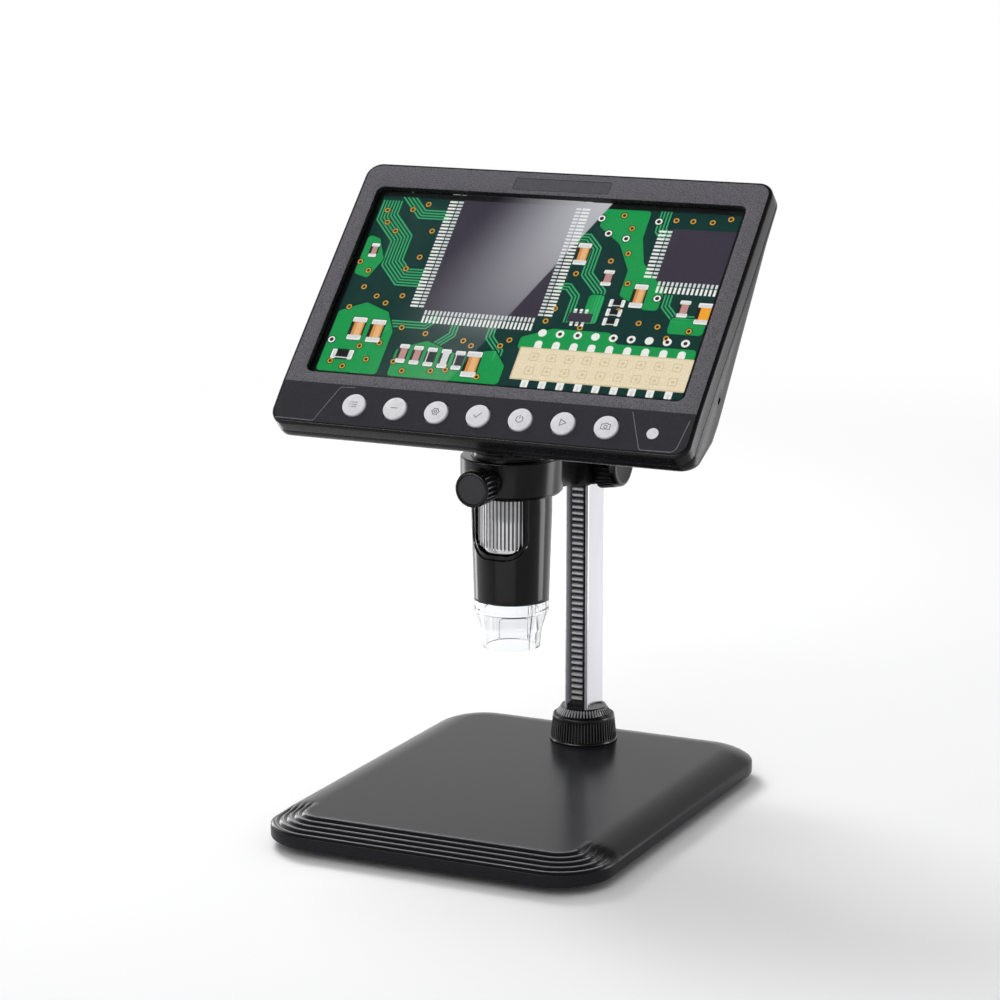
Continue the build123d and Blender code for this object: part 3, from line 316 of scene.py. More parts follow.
# Gives a piece its finish and its body, and says which construction nodes it stands for.
def settle(piece, body, slotName, materials, *nodes):
    mesh = piece.data
    slots = np.zeros(len(mesh.polygons), np.int32)
    mesh.polygons.foreach_get("material_index", slots)
    mesh.materials.clear()
    for material in materials if isinstance(materials, list) else [materials]:
        mesh.materials.append(material)
    mesh.polygons.foreach_set("material_index", slots)
    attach(piece, body)
    if nodes:
        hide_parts(*nodes)


# The camera stands at the operator's right, a little above the screen.
cameraSettings = {
    "place": (510.3, -1091.55, 385.2),
    "azimuth": 25.418,
    "elevation": 12.131,
    "focalLength": 113.913,
    "sensor": 36.0,
    "reach": 60,
}


def makeCamera():
    azimuth = math.radians(cameraSettings["azimuth"])
    elevation = math.radians(cameraSettings["elevation"])
    forward = Vector((-math.sin(azimuth) * math.cos(elevation), math.cos(azimuth) * math.cos(elevation),
                      -math.sin(elevation)))
    data = bpy.data.cameras.new("studioCamera")
    data.lens = cameraSettings["focalLength"]
    data.sensor_width = cameraSettings["sensor"]
    data.clip_end = cameraSettings["reach"]
    camera = bpy.data.objects.new("studioCamera", data)
    camera.location = Vector(cameraSettings["place"]) * mm
    camera.rotation_mode = "QUATERNION"
    camera.rotation_quaternion = forward.to_track_quat("-Z", "Y")
    bpy.context.scene.collection.objects.link(camera)
    bpy.context.scene.camera = camera


# A lamp either lights the colours and is seen in no mirror, or is only seen in the glossy parts. Their
# room is white behind the object and greyer in front of it, with a soft change over the blend.
studioSettings = {
    "worldLight": 0.5,
    "backdrop": 0.98,
    "mirrorFront": 0.34,
    "mirrorAbove": 0.12,
    "mirrorFloor": 0.36,
    "behind": (-0.43, 0.9, 0.0),  # the way that the camera looks, seen from above
    "skyBlend": 0.35,
    "floorBlend": 0.3,
    "aboveFrom": 0.18,
    "aboveTo": 0.72,
    "floorColour": "#f3f3f4",
    "floorSize": 30.0,
    "fadeFrom": 0.36,
    "fadeTo": 1.1,
    "lamps": [
        # name, place and aim in metres, width, height, power in watts, what it reaches
        ("keySoftbox", (-0.62, 0.4, 0.88), (0, 0, 0.1), 0.5, 0.5, 9.0, "colours"),
        ("frontSoftbox", (0.2, -1.3, 1.1), (0, 0, 0.12), 1.0, 1.0, 7.0, "colours"),
        ("rightCard", (0.24, 0.15, 0.1), (0, -0.007, 0.1), 0.1, 0.2, 0.2, "mirrors"),
        ("leftCard", (-0.26, 0.065, 0.1), (0, -0.007, 0.1), 0.06, 0.2, 0.13, "mirrors"),
        ("frontCard", (0.03, -0.27, 0.05), (0, -0.007, 0.05), 0.3, 0.1, 0.035, "mirrors"),
        ("frontStrip", (-0.55, -1.45, 0.72), (0, -0.09, 0.01), 1.6, 0.1, 8.0, "mirrors"),
    ],
}


# A soft change from one value in front of the object to another behind it.
def frontToBehind(tree, place, blend, front, behind):
    across = addNode(tree, "ShaderNodeVectorMath", {0: place, 1: studioSettings["behind"]}, operation="DOT_PRODUCT")
    change = addNode(tree, "ShaderNodeMapRange", {
        "Value": across.outputs["Value"], "From Min": -blend, "From Max": blend, "To Min": front, "To Max": behind},
        interpolation_type="SMOOTHSTEP")
    return change.outputs["Result"]


# 1 for the rays that the camera sends out, and 1 for those that mirrors and clear parts send on.
def seenRays(tree):
    path = addNode(tree, "ShaderNodeLightPath")
    mirrored = addNode(tree, "ShaderNodeMath", {
        0: path.outputs["Is Glossy Ray"], 1: path.outputs["Is Transmission Ray"]}, operation="MAXIMUM")
    return path.outputs["Is Camera Ray"], mirrored.outputs[0]


# What mirrors and clear parts show of the room: white behind, greyer in front, dark overhead.
def mirrorTone(tree):
    place = addNode(tree, "ShaderNodeTexCoord")
    behind = frontToBehind(tree, place.outputs["Generated"], studioSettings["skyBlend"],
                           studioSettings["mirrorFront"], studioSettings["backdrop"])
    parts = addNode(tree, "ShaderNodeSeparateXYZ", {"Vector": place.outputs["Generated"]})
    above = addNode(tree, "ShaderNodeMapRange", {
        "Value": parts.outputs["Z"], "From Min": studioSettings["aboveFrom"],
        "From Max": studioSettings["aboveTo"], "To Min": 1.0, "To Max": studioSettings["mirrorAbove"]},
        interpolation_type="SMOOTHSTEP")
    tone = addNode(tree, "ShaderNodeMath", {0: behind, 1: above.outputs["Result"]}, operation="MULTIPLY")
    return tone.outputs[0]


def makeStudio():
    scene = bpy.context.scene
    scene.view_settings.view_transform = "Standard"
    world = bpy.data.worlds.new("whiteStudio")
    scene.world = world
    world.use_nodes = True
    tree = world.node_tree
    tree.nodes.clear()
    white = linearColour("#ffffff")
    light = addNode(tree, "ShaderNodeBackground", {"Color": white, "Strength": studioSettings["worldLight"]})
    shown = addNode(tree, "ShaderNodeBackground", {"Color": white, "Strength": studioSettings["backdrop"]})
    mirrored = addNode(tree, "ShaderNodeBackground", {"Color": white, "Strength": mirrorTone(tree)})
    cameraRay, mirrorRay = seenRays(tree)
    first = addNode(tree, "ShaderNodeMixShader", {0: mirrorRay, 1: light.outputs[0], 2: mirrored.outputs[0]})
    mixed = addNode(tree, "ShaderNodeMixShader", {0: cameraRay, 1: first.outputs[0], 2: shown.outputs[0]})
    addNode(tree, "ShaderNodeOutputWorld", {"Surface": mixed.outputs[0]})

    size = studioSettings["floorSize"] / mm / 2
    floor = makePiece("studioFloor", [(-size, -size, 0), (size, -size, 0), (size, size, 0), (-size, size, 0)],
                      [[0, 1, 2, 3]])
    floor.data.materials.append(floorMaterial())
    for name, place, aim, width, height, power, reach in studioSettings["lamps"]:
        data = bpy.data.lights.new(name, "AREA")
        data.shape = "RECTANGLE"
        data.size, data.size_y = width, height
        data.energy = power
        lamp = bpy.data.objects.new(name, data)
        lamp.location = place
        lamp.rotation_mode = "QUATERNION"
        lamp.rotation_quaternion = (Vector(aim) - Vector(place)).to_track_quat("-Z", "Y")
        lamp.visible_camera = False
        lamp.visible_glossy = reach == "mirrors"
        lamp.visible_diffuse = reach == "colours"
        scene.collection.objects.link(lamp)


# Seamless paper: a matt white that fades to the plain backdrop away from the object, for the rays that
# show it. Mirrors see it greyer in front.
def floorMaterial():
    material = bpy.data.materials.new("seamlessPaper")
    material.use_nodes = True
    tree = material.node_tree
    tree.nodes.clear()
    paper = addNode(tree, "ShaderNodeBsdfDiffuse")
    place = addNode(tree, "ShaderNodeTexCoord")
    darker = frontToBehind(tree, place.outputs["Object"], studioSettings["floorBlend"],
                           studioSettings["mirrorFloor"] - 1, 0.0)
    cameraRay, mirrorRay = seenRays(tree)
    strength = addNode(tree, "ShaderNodeMath", {0: darker, 1: mirrorRay, 2: 1.0}, operation="MULTIPLY_ADD")
    backdrop = addNode(tree, "ShaderNodeEmission", {
        "Color": linearColour("#ffffff"), "Strength": strength.outputs[0]})
    tint = addNode(tree, "ShaderNodeVectorMath", {
        0: linearColour(studioSettings["floorColour"])[:3], "Scale": strength.outputs[0]}, operation="SCALE")
    tree.links.new(tint.outputs["Vector"], paper.inputs["Color"])
    reach = addNode(tree, "ShaderNodeVectorMath", {0: place.outputs["Object"]}, operation="LENGTH")
    fade = addNode(tree, "ShaderNodeMapRange", {
        "Value": reach.outputs["Value"], "From Min": studioSettings["fadeFrom"],
        "From Max": studioSettings["fadeTo"]}, interpolation_type="SMOOTHSTEP")
    seen = addNode(tree, "ShaderNodeMath", {0: cameraRay, 1: mirrorRay}, operation="MAXIMUM")
    share = addNode(tree, "ShaderNodeMath", {0: fade.outputs["Result"], 1: seen.outputs[0]}, operation="MULTIPLY")
    mixed = addNode(tree, "ShaderNodeMixShader", {
        0: share.outputs[0], 1: paper.outputs[0], 2: backdrop.outputs[0]})
    addNode(tree, "ShaderNodeOutputMaterial", {"Surface": mixed.outputs[0]})
    return material


makeCamera()
makeStudio()
print("camera and studio set")

# The finishes. Each is named for its real material and how its surface was made; those that carry a painted
# highlight or painted shade say so.
deckAbs = sandedFinish("fineSandedAbs", "#232326", "#1d1d20", 0.25, (0.2, 0.27), 0.0006, 0.14)
bezelAbs = sandedFinish("sparkErodedAbs", "#737177", "#4a494e", 0.42, (0.6, 0.72), 0.015, 0.15)
plateAbs = satinFinish("satinGreyAbs", "#57565b", "#504f54", 1.2, (0.45, 0.55), 0.001, 0.2)
fasciaAbs = satinFinish("satinDarkAbs", "#36353a", "#323135", 1.2, (0.45, 0.55), 0.001, 0.2)
# Rib faces painted darker as shade; the two crest tones below are painted highlights
ribShadeAbs = satinFinish("glossyRibPaintedShadeAbs", "#161618", "#121214", 1.4, (0.18, 0.24), 0.0005, 0.4)
softHighlightAbs = satinFinish("paintedSoftHighlightAbs", "#48484b", "#404043", 1.4, (0.2, 0.26), 0.0005, 0.4)
crestHighlightAbs = satinFinish("paintedCrestHighlightAbs", "#929296", "#86868a", 1.4, (0.2, 0.26), 0.0005, 0.4)
# Light bead colour of the fascia lines: a painted highlight
lineHighlightAbs = satinFinish("paintedLineHighlightAbs", "#7b7a80", "#6c6b71", 1.2, (0.3, 0.4), 0.001, 0.3)
caseAbs = satinFinish("satinBlackAbs", "#161618", "#121214", 1.6, (0.24, 0.32), 0.002, 0.3)
barrelAbs = satinFinish("polishedBlackAbs", "#0a090b", "#070608", 2.0, (0.13, 0.18), 0.0005, 0.45)
armAbs = satinFinish("semiGlossBlackAbs", "#0f0e10", "#0c0b0d", 1.6, (0.2, 0.27), 0.001, 0.4)
# Collet tooth faces: painted light as a highlight
toothHighlightAbs = satinFinish("paintedToothHighlightAbs", "#b4b4b8", "#a6a6aa", 1.4, (0.16, 0.22), 0.0005, 0.5)
knobAbs = satinFinish("ribbedBlackAbs", "#0d0d0e", "#09090a", 1.4, (0.16, 0.22), 0.0005, 0.5)
discAbs = sandedFinish("mattKnobFace", "#3c3b3e", "#353437", 0.25, (0.5, 0.6), 0.004)
footRubber = sandedFinish("mouldedRubber", "#151515", "#101010", 0.4, (0.75, 0.85), 0.006)
panSteel = sandedFinish("powderCoatedSteel", "#1c1c1e", "#151517", 0.3, (0.5, 0.62), 0.006)
columnMetal = brushedMetal("anodisedAluminium", "#f2f1f5", "#eae9ee", (0.16, 0.24), (1, 1, 0.02), 0.4)
# Lip fronts: rougher aluminium painted greyer as shade; slot: painted dark as shade
lipShadeMetal = brushedMetal("roughExtrusionLipPaintedShade", "#d0d0d5", "#c4c4ca", (0.3, 0.4), (1, 1, 0.02), 0.4)
wallMetal = satinFinish("mattAnodisedWall", "#d2d2d7", "#c6c6cc", 1.4, (0.4, 0.5), 0.001)
slotShadeMetal = brushedMetal("paintedShadeExtrusionSlot", "#525256", "#3e3e42", (0.3, 0.4), (1, 1, 0.02), 0.4)
# Flute faces: rougher chrome, painted darker as shade
fluteShadeMetal = brushedMetal("paintedShadeFluteChrome", "#707074", "#646468", (0.2, 0.3), (1, 1, 1), 2.0, 0.0)
chromeMetal = brushedMetal("polishedChrome", "#f0f0f2", "#e6e6e9", (0.05, 0.1), (1, 1, 1), 2.0, 0.0)
screwMetal = brushedMetal("blackOxideSteel", "#4a4a4c", "#3a3a3c", (0.3, 0.42), (1, 1, 1), 0.4)
pinMetal = brushedMetal("groundSteel", "#b9b9bc", "#a6a6aa", (0.2, 0.3), (0.1, 1, 1), 0.4)
brassMetal = brushedMetal("turnedBrass", "#d0a95c", "#bd9448", (0.22, 0.34), (1, 1, 1), 0.4)
nylonWhite = satinFinish("mouldedNylon", "#dad8d0", "#cfccc4", 1.5, (0.42, 0.52), 0.002)
boardGreen = satinFinish("solderMask", "#1d5a37", "#174c2e", 1.0, (0.3, 0.4), 0.002)
wrapBlue = satinFinish("shrinkWrap", "#3a4f7c", "#32466f", 2.0, (0.3, 0.42), 0.004)
portMetal = brushedMetal("nickelPlate", "#b8b8ba", "#a4a4a6", (0.2, 0.3), (1, 1, 1), 0.4)
buttonAbs = satinFinish("glossWhiteAbs", "#e4e3e6", "#dedde0", 2.0, (0.24, 0.32), 0.001)
printGrey = satinFinish("greyPadPrint", "#6f6e74", "#66656b", 0.8, (0.5, 0.6), 0.0)


# Milled zinc rack: the tooth tips are painted bright as a highlight and the gaps between them painted dark as shade.
# The tone follows the depth along y, from the tips to the gaps, and a little noise makes it uneven.
rackSettings = {"tip": 56.3, "gap": 57.5, "unevenness": 0.35, "brightTo": 0.12, "darkFrom": 0.85}


def rackMaterial():
    material, tree, shader = newMaterial("milledZincPaintedLight", Metallic=0.35)
    place = addNode(tree, "ShaderNodeTexCoord")
    parts = addNode(tree, "ShaderNodeSeparateXYZ", {"Vector": place.outputs["Object"]})
    depth = addNode(tree, "ShaderNodeMapRange", {
        "Value": parts.outputs["Y"], "From Min": rackSettings["tip"] * mm, "From Max": rackSettings["gap"] * mm})
    grain = grainNoise(tree, 0.6, 3.0)
    uneven = addNode(tree, "ShaderNodeMath", {
        0: grain.outputs["Fac"], 1: rackSettings["unevenness"], 2: depth.outputs["Result"]},
        operation="MULTIPLY_ADD")
    tone = addNode(tree, "ShaderNodeValToRGB", {"Fac": uneven.outputs[0]})
    first, last = tone.color_ramp.elements
    first.position, last.position = rackSettings["brightTo"], rackSettings["darkFrom"]
    first.color, last.color = linearColour("#f4f4f6"), linearColour("#1c1c1e")
    tree.links.new(tone.outputs["Color"], shader.inputs["Base Color"])
    gloss = addNode(tree, "ShaderNodeMapRange", {
        "Value": grain.outputs["Fac"], "To Min": 0.2, "To Max": 0.34})
    tree.links.new(gloss.outputs["Result"], shader.inputs["Roughness"])
    return material


rackLightShadeMetal = rackMaterial()


# Clear acrylic or glass: all light goes through, bent by its index, with no colour beside a faint tint.
# Slow waves of the surface, 6 mm long and 0.004 mm high, make its reflections waver.
def clearMaterial(name, tint, roughness, index):
    material, tree, shader = newMaterial(name, **{
        "Base Color": linearColour(tint), "Roughness": roughness, "IOR": index, "Transmission Weight": 1.0})
    wave = grainNoise(tree, 6.0, 1.0)
    bump = addNode(tree, "ShaderNodeBump", {
        "Height": wave.outputs["Fac"], "Strength": 1.0, "Distance": 0.004 * mm})
    tree.links.new(bump.outputs["Normal"], shader.inputs["Normal"])
    return material


groundAcrylic = clearMaterial("groundAcrylicLine", "#84848a", 0.45, 1.49)
clearAcrylic = clearMaterial("mouldedClearAcrylic", "#fbfcfd", 0.02, 1.49)
coverGlass = clearMaterial("coatedCoverGlass", "#ffffff", 0.0, 1.25)
lensGlass = clearMaterial("polishedLensGlass", "#f4f8ff", 0.0, 1.52)
print("finishes ready")

# The base.
baseShape = {
    "width": 141.5, "depth": 182.5, "corner": 22.0, "low": 3.8, "edge": 8.6, "deck": 13.2,
    "shoulder": 14.2, "wall": 2.4, "ribs": 5, "ribPitch": 2.9, "ribInset": 0.35, "ribFade": 9.0,
    "ribDepth": 0.72, "rowPitch": 0.145, "curve": 0.78, "crestAt": 0.56, "crestWidth": 0.07, "crestSides": 0.2,
    "bulge": 0.8, "undercut": 0.55, "undercutIn": 0.6, "undercutOut": 4.6, "firstInset": 0.32, "lastInset": 16.5,
    "sideSteps": (60, 12, 60, 24), "cornerSteps": 22,
    # inset and height above the lower edge, up the outer wall
    "lip": [(0.9, 0.0), (0.4, 0.12), (0.12, 0.4), (0.0, 0.9), (0.0, 4.45), (0.03, 4.68), (0.14, 4.84)],
}


# The rounded outline of the base: a core rectangle and the way out from it. Offsets of the outline
# are core + (corner - inset) * out.
def roundedCore(halfX, halfY, corner, sideSteps, cornerSteps):
    core, out = [], []
    turns = [(1, -1, -math.pi / 2), (1, 1, 0.0), (-1, 1, math.pi / 2), (-1, -1, math.pi)]
    for (signX, signY, start), (nextX, nextY, _), steps in zip(turns, turns[1:] + turns[:1], sideSteps):
        middle = np.array([signX * (halfX - corner), signY * (halfY - corner)])
        after = np.array([nextX * (halfX - corner), nextY * (halfY - corner)])
        sweep = start + np.linspace(0, math.pi / 2, cornerSteps + 1)
        core.append(np.repeat(middle[None], cornerSteps + 1, axis=0))
        out.append(np.stack([np.cos(sweep), np.sin(sweep)], axis=-1))
        along = np.linspace(0, 1, steps + 1)[1:-1, None]
        core.append(middle + (after - middle) * along)
        out.append(np.repeat(out[-1][-1:], steps - 1, axis=0))
    return np.concatenate(core), np.concatenate(out)


# Height of the cover's top at an inset from the outline. The plain shoulder is a soft quarter curve,
# edge + rise * (1 - share squared) ** curve. At the front it is a straight slope with a row of round
# ribs, slope + depth * (|sin| ** bulge - undercut), where the undercut fades in on the first rib and
# out on the last. Past the corners the ribs blend into the plain shoulder.
def coverHeight(inset, along):
    shape = baseShape
    rise = shape["deck"] - shape["edge"]
    share = np.clip(1 - inset / shape["shoulder"], 0, 1)
    plain = shape["edge"] + rise * (1 - share ** 2) ** shape["curve"]
    count = np.clip((inset - shape["ribInset"]) / shape["ribPitch"], 0, shape["ribs"])
    slope = shape["edge"] + rise * count / shape["ribs"]
    bulge = np.abs(np.sin(np.pi * count)) ** shape["bulge"]
    lift = np.where((count > 0) & (count < shape["ribs"]), bulge, 0.0)
    fadeIn = smoothStep(0, shape["undercutIn"], count)
    fadeOut = 1 - smoothStep(shape["undercutOut"], shape["ribs"], count)
    ribbed = slope + shape["ribDepth"] * (lift - shape["undercut"] * fadeIn * fadeOut)
    fade = smoothStep(0, 1, along)
    return np.minimum(ribbed * (1 - fade) + plain * fade, shape["deck"])


def makeBaseCover():
    shape = baseShape
    core, out = roundedCore(shape["width"] / 2, shape["depth"] / 2, shape["corner"], shape["sideSteps"],
                            shape["cornerSteps"])

    def ring(inset, height):
        outline = core + (shape["corner"] - inset) * out
        return np.column_stack([outline, np.broadcast_to(height, len(core))])

    # 0 at the front edge and round its corners, 1 where the ribs have faded out along the sides
    along = np.clip((core[:, 1] + shape["depth"] / 2 - shape["corner"]) / shape["ribFade"], 0, None)
    insets = np.arange(shape["firstInset"], shape["lastInset"], shape["rowPitch"])
    wall = shape["wall"]
    # from the middle of the ceiling down the inside, up the lip, over the ribs and in over the deck
    rings = [ring(inset, height) for inset, height in (
        (shape["corner"] - 0.2, shape["deck"] - wall), (shape["shoulder"], shape["deck"] - wall),
        (wall + 1.5, shape["edge"] - 1.0), (wall, shape["edge"] - wall), (wall, shape["low"]))]
    rings += [ring(inset, shape["low"] + up) for inset, up in shape["lip"]]
    plainRings = len(rings)
    rings += [ring(inset, coverHeight(np.full(len(core), inset), along))
              for inset in [*insets, shape["corner"] - 0.1]]
    # Faces on the ribs are glossier and painted darker as shade, and their crests carry a painted highlight in a
    # band of two tones.
    ringInsets = np.concatenate([np.full(plainRings, -1.0), insets])
    count = (ringInsets + shape["rowPitch"] / 2 - shape["ribInset"]) / shape["ribPitch"]
    ribbed = (count > 0) & (count < shape["ribs"])
    offCrest = np.where(ribbed, np.abs(count % 1 - shape["crestAt"]), 1.0)[:, None]
    slots = np.where(ribbed[:, None] & (along < 1)[None, :], 1, 0)
    facesFront = (out[:, 1] < -0.25)[None, :]
    slots[(offCrest < shape["crestSides"]) & facesFront] = 2
    slots[(offCrest < shape["crestWidth"]) & facesFront] = 3
    piece = gridPiece("baseCover", np.array(rings), sharpAngle=40,
                      slots=np.concatenate([slots.ravel(), [0, 0]]))
    settle(piece, "stand", "base_black", [deckAbs, ribShadeAbs, softHighlightAbs, crestHighlightAbs], "base_cover")


footShape = {"radius": 8.0, "height": 3.8, "x": 46.5, "y": 73.25, "round": 1.0, "draft": 0.2, "topRound": 0.3}


def makeFeet():
    shape = footShape
    radius, height = shape["radius"], shape["height"]
    outline = roundedPath([(0, 0), (radius, 0), (radius - shape["draft"], height), (0, height)],
                          [0, shape["round"], shape["topRound"], 0])
    pads = []
    for sideX in (-1, 1):
        for sideY in (-1, 1):
            place = axes((sideX * shape["x"], sideY * shape["y"], 0), (1, 0, 0), (0, 1, 0), (0, 0, 1))
            pads.append(turnedPiece("foot", outline, place, 64))
    settle(joined("rubberFeet", pads), "stand", "rubber_black", footRubber, "base_feet")


makeBaseCover()
makeFeet()
print("base made")

# The column, its rack and the lock collar.
columnShape = {
    "y": 62.9, "width": 10.2, "depth": 16.4, "corner": 0.8, "slotHalf": 3.9, "slotDepth": 4.9,
    "low": 7.8, "top": 178.0, "grooveWidth": 0.55, "grooveLow": 1.6, "grooveHigh": 1.2, "lipRound": 0.25,
    # inset and height above the bar's top, up the plug
    "cap": [(0.15, 0.0), (0.0, 0.15), (0.0, 1.6), (0.1, 2.0), (0.35, 2.25), (0.8, 2.4)],
}
columnPlace = axes((0, columnShape["y"], 0), (1, 0, 0), (0, 1, 0), (0, 0, 1))


# The extrusion's section, pushed up: a bar with rounded corners and a slot down its front. A fine
# groove runs beside the right lip, inside the slot.
def makeColumn():
    shape = columnShape
    halfX, halfY, slotHalf = shape["width"] / 2, shape["depth"] / 2, shape["slotHalf"]
    floor = -halfY + shape["slotDepth"]
    grooveX = slotHalf + shape["grooveWidth"]
    grooveLow, grooveHigh = -halfY + shape["grooveLow"], -halfY + shape["grooveHigh"]
    corners = [
        (-halfX, -halfY), (-slotHalf, -halfY), (-slotHalf, floor), (slotHalf, floor), (slotHalf, grooveLow),
        (grooveX, grooveLow), (grooveX, grooveHigh), (slotHalf, grooveHigh), (slotHalf, -halfY), (halfX, -halfY),
        (halfX, halfY), (-halfX, halfY)]
    radii = [shape["corner"], shape["lipRound"], 0.2, 0.2, 0.05, 0.05, 0.05, 0.05, shape["lipRound"]]
    section = roundedPath(corners, radii + [shape["corner"]] * 3, 5, closed=True)
    grid = [np.concatenate([section, np.full((len(section), 1), z)], axis=1)
            for z in (shape["low"], shape["top"])]
    middle = (section + np.roll(section, -1, 0)) / 2
    # each face's finish goes by where the middle of its section line lies; the slot is painted dark as shade, and
    # the lip fronts are a rougher copy of the aluminium painted greyer as shade
    inSlot = (np.abs(middle[:, 0]) < grooveX + 0.1) & (middle[:, 1] > -halfY + 0.2) & (middle[:, 1] < floor + 0.3)
    onLip = middle[:, 1] < -halfY + 0.15
    onWall = inSlot & (middle[:, 0] < -slotHalf + 0.1)
    slots = np.concatenate([np.select([onWall, inSlot, onLip], [3, 1, 2], 0), [0, 0]])
    piece = gridPiece("columnExtrusion", np.array(grid), columnPlace, slots=slots)
    settle(piece, "stand", "column_aluminium", [columnMetal, slotShadeMetal, lipShadeMetal, wallMetal], "column")

    cap = roundedBox(-halfX, -halfY, halfX, halfY, shape["corner"], 5)
    rows = []
    for inset, z in shape["cap"]:
        shrink = 1 - inset / np.array([halfX, halfY])
        rows.append(np.concatenate([cap * shrink, np.full((len(cap), 1), shape["top"] + z)], axis=1))
    settle(gridPiece("columnCap", np.array(rows), columnPlace), "stand", "case_black", armAbs, "column_cap")


collarShape = {
    "low": 13.4, "top": 24.3, "radiusLow": 14.0, "radiusTop": 12.9, "ribs": 64, "ribDepth": 0.7,
    "fadeFrom": 21.2, "fadeTo": 23.2, "bore": 11.1, "rim": 0.9, "rimStep": 0.25, "grooveShare": 0.22,
    "flankShare": 0.2,
}
colletShape = {
    "radiusLow": 11.6, "radiusTop": 9.2, "low": 22.2, "edge": 24.3, "top": 27.75, "teeth": 52, "depth": 0.7,
    "recess": 7.9, "recessDepth": 0.35, "tongueTop": 29.75, "grooveShare": 0.35, "flankShare": 0.16, "play": 0.05,
}


# Collar: radius = cone line - depth * groove wave * fade, where the grooves run out towards the top.
# The edge rounds both rims, and the wall steps back a little above the lower one.
def makeLockCollar():
    shape = collarShape
    angles = evenAngles(shape["ribs"] * 8)
    heights = np.concatenate([[0.0, 0.12, 0.3, 0.75, 0.9], np.linspace(1.05, 10.0, 24),
                              [10.3, 10.55, 10.72, 10.83, 10.9]])
    share = heights / (shape["top"] - shape["low"])
    coneLine = shape["radiusLow"] + (shape["radiusTop"] - shape["radiusLow"]) * share
    coneLine = coneLine - shape["rimStep"] * smoothStep(0.6, 1.1, heights)
    edge = np.zeros(len(heights))
    edge[:3] = (0.35, 0.1, 0.0)
    edge[-5:] = (0.0, 0.05, 0.15, 0.32, 0.6)
    z = shape["low"] + heights
    fadeOut = 1 - smoothStep(shape["fadeFrom"], shape["fadeTo"], z)
    fade = smoothStep(shape["rim"], shape["rim"] + 0.35, heights) * fadeOut
    groove = 1 - ribWave(angles, shape["ribs"], shape["grooveShare"], shape["flankShare"])
    radius = (coneLine - edge)[:, None] - shape["ribDepth"] * fade[:, None] * groove[None, :]
    outer = turnedGrid(radius, z[:, None], angles)
    inside = np.array([[12.0, shape["top"]], [11.9, shape["top"] - 0.6], [shape["bore"], shape["top"] - 3.0],
                       [shape["bore"], shape["low"]]])
    inner = turnedGrid(inside[:, :1], inside[:, 1:], angles)
    piece = gridPiece("lockCollar", np.concatenate([outer, inner]), columnPlace, wrapRows=True)
    slots = np.zeros((len(outer) + len(inner), len(angles)), int)
    # the rib lands take the lighter soft finish, a painted highlight
    slots[:len(outer)] = (fade[:, None] > 0.5) & (groove[None, :] < 0.15)
    piece.data.polygons.foreach_set("material_index", slots.ravel())
    settle(piece, "lock_collar", "knob_black", [knobAbs, softHighlightAbs], "lock_collar")


# Collet: height = cone line - depth * groove wave, with grooves that run from rim to column.
def makeCollet():
    shape = colletShape
    angles = evenAngles(shape["teeth"] * 8)
    run = np.linspace(0, 1, 14)
    radius = shape["radiusLow"] + (shape["radiusTop"] - shape["radiusLow"]) * run
    line = shape["edge"] + (shape["top"] - shape["edge"]) * run
    groove = 1 - ribWave(angles, shape["teeth"], shape["grooveShare"], shape["flankShare"])
    reach = smoothStep(0.1, 0.2, run) * (1 - smoothStep(0.72, 0.82, run))
    height = line[:, None] - shape["depth"] * reach[:, None] * groove[None, :]
    slope = turnedGrid(np.repeat(radius[:, None], len(angles), 1), height, angles)
    low = turnedGrid(np.array([[0.0], [shape["radiusLow"]]]), np.array([[shape["low"]], [shape["low"]]]), angles)
    edge, floor = shape["recess"], shape["top"] - shape["recessDepth"]
    recess = np.array([[edge + 0.15, shape["top"]], [edge, shape["top"] - 0.15], [edge, floor], [0.0, floor]])
    top = turnedGrid(recess[:, :1], recess[:, 1:], angles)
    slots = np.zeros((len(low) + len(slope) + len(top) - 1, len(angles)), int)
    # the tooth faces are painted light as a highlight
    onTooth = (reach[:, None] > 0.5) & (groove[None, :] < 0.2)
    slots[len(low):len(low) + len(slope)] = np.where(onTooth, 1, 0)
    ring = gridPiece("colletRing", np.concatenate([low, slope, top]), columnPlace, capEnds=False,
                     slots=slots.ravel())
    # the cone's tongue fills the lower end of the column's slot
    half = columnShape["slotHalf"] - shape["play"]
    front = -columnShape["depth"] / 2
    tongue = boxPiece("tongue", (-half, front + 0.15, shape["low"]),
                      (half, front + columnShape["slotDepth"] - shape["play"], shape["tongueTop"]), columnPlace)
    settle(joined("colletCone", [ring, tongue]), "stand", "knob_black", [knobAbs, toothHighlightAbs], "column_collet")


makeColumn()
makeLockCollar()
makeCollet()
print("column made")

# The carriage, its arm and ring, and the knobs.
barrelY = -7.25
barrelPlace = axes((0, barrelY, 0), (1, 0, 0), (0, 1, 0), (0, 0, 1))
clampPlace = axes((0, 0, 138.4), (1, 0, 0), (0, 0, 1), (0, -1, 0))
shaftPlace = axes((0, 51.45, 133.7), (0, 1, 0), (0, 0, 1), (1, 0, 0))
mirroredShaft = axes((0, 51.45, 133.7), (0, -1, 0), (0, 0, 1), (-1, 0, 0))

clampKnobShape = {
    "low": 32.95, "high": 43.15, "radius": 7.1, "ribs": 22, "ribDepth": 0.75, "faceRadius": 5.7, "dish": 0.35,
    "grooveShare": 0.3, "flankShare": 0.22,
}


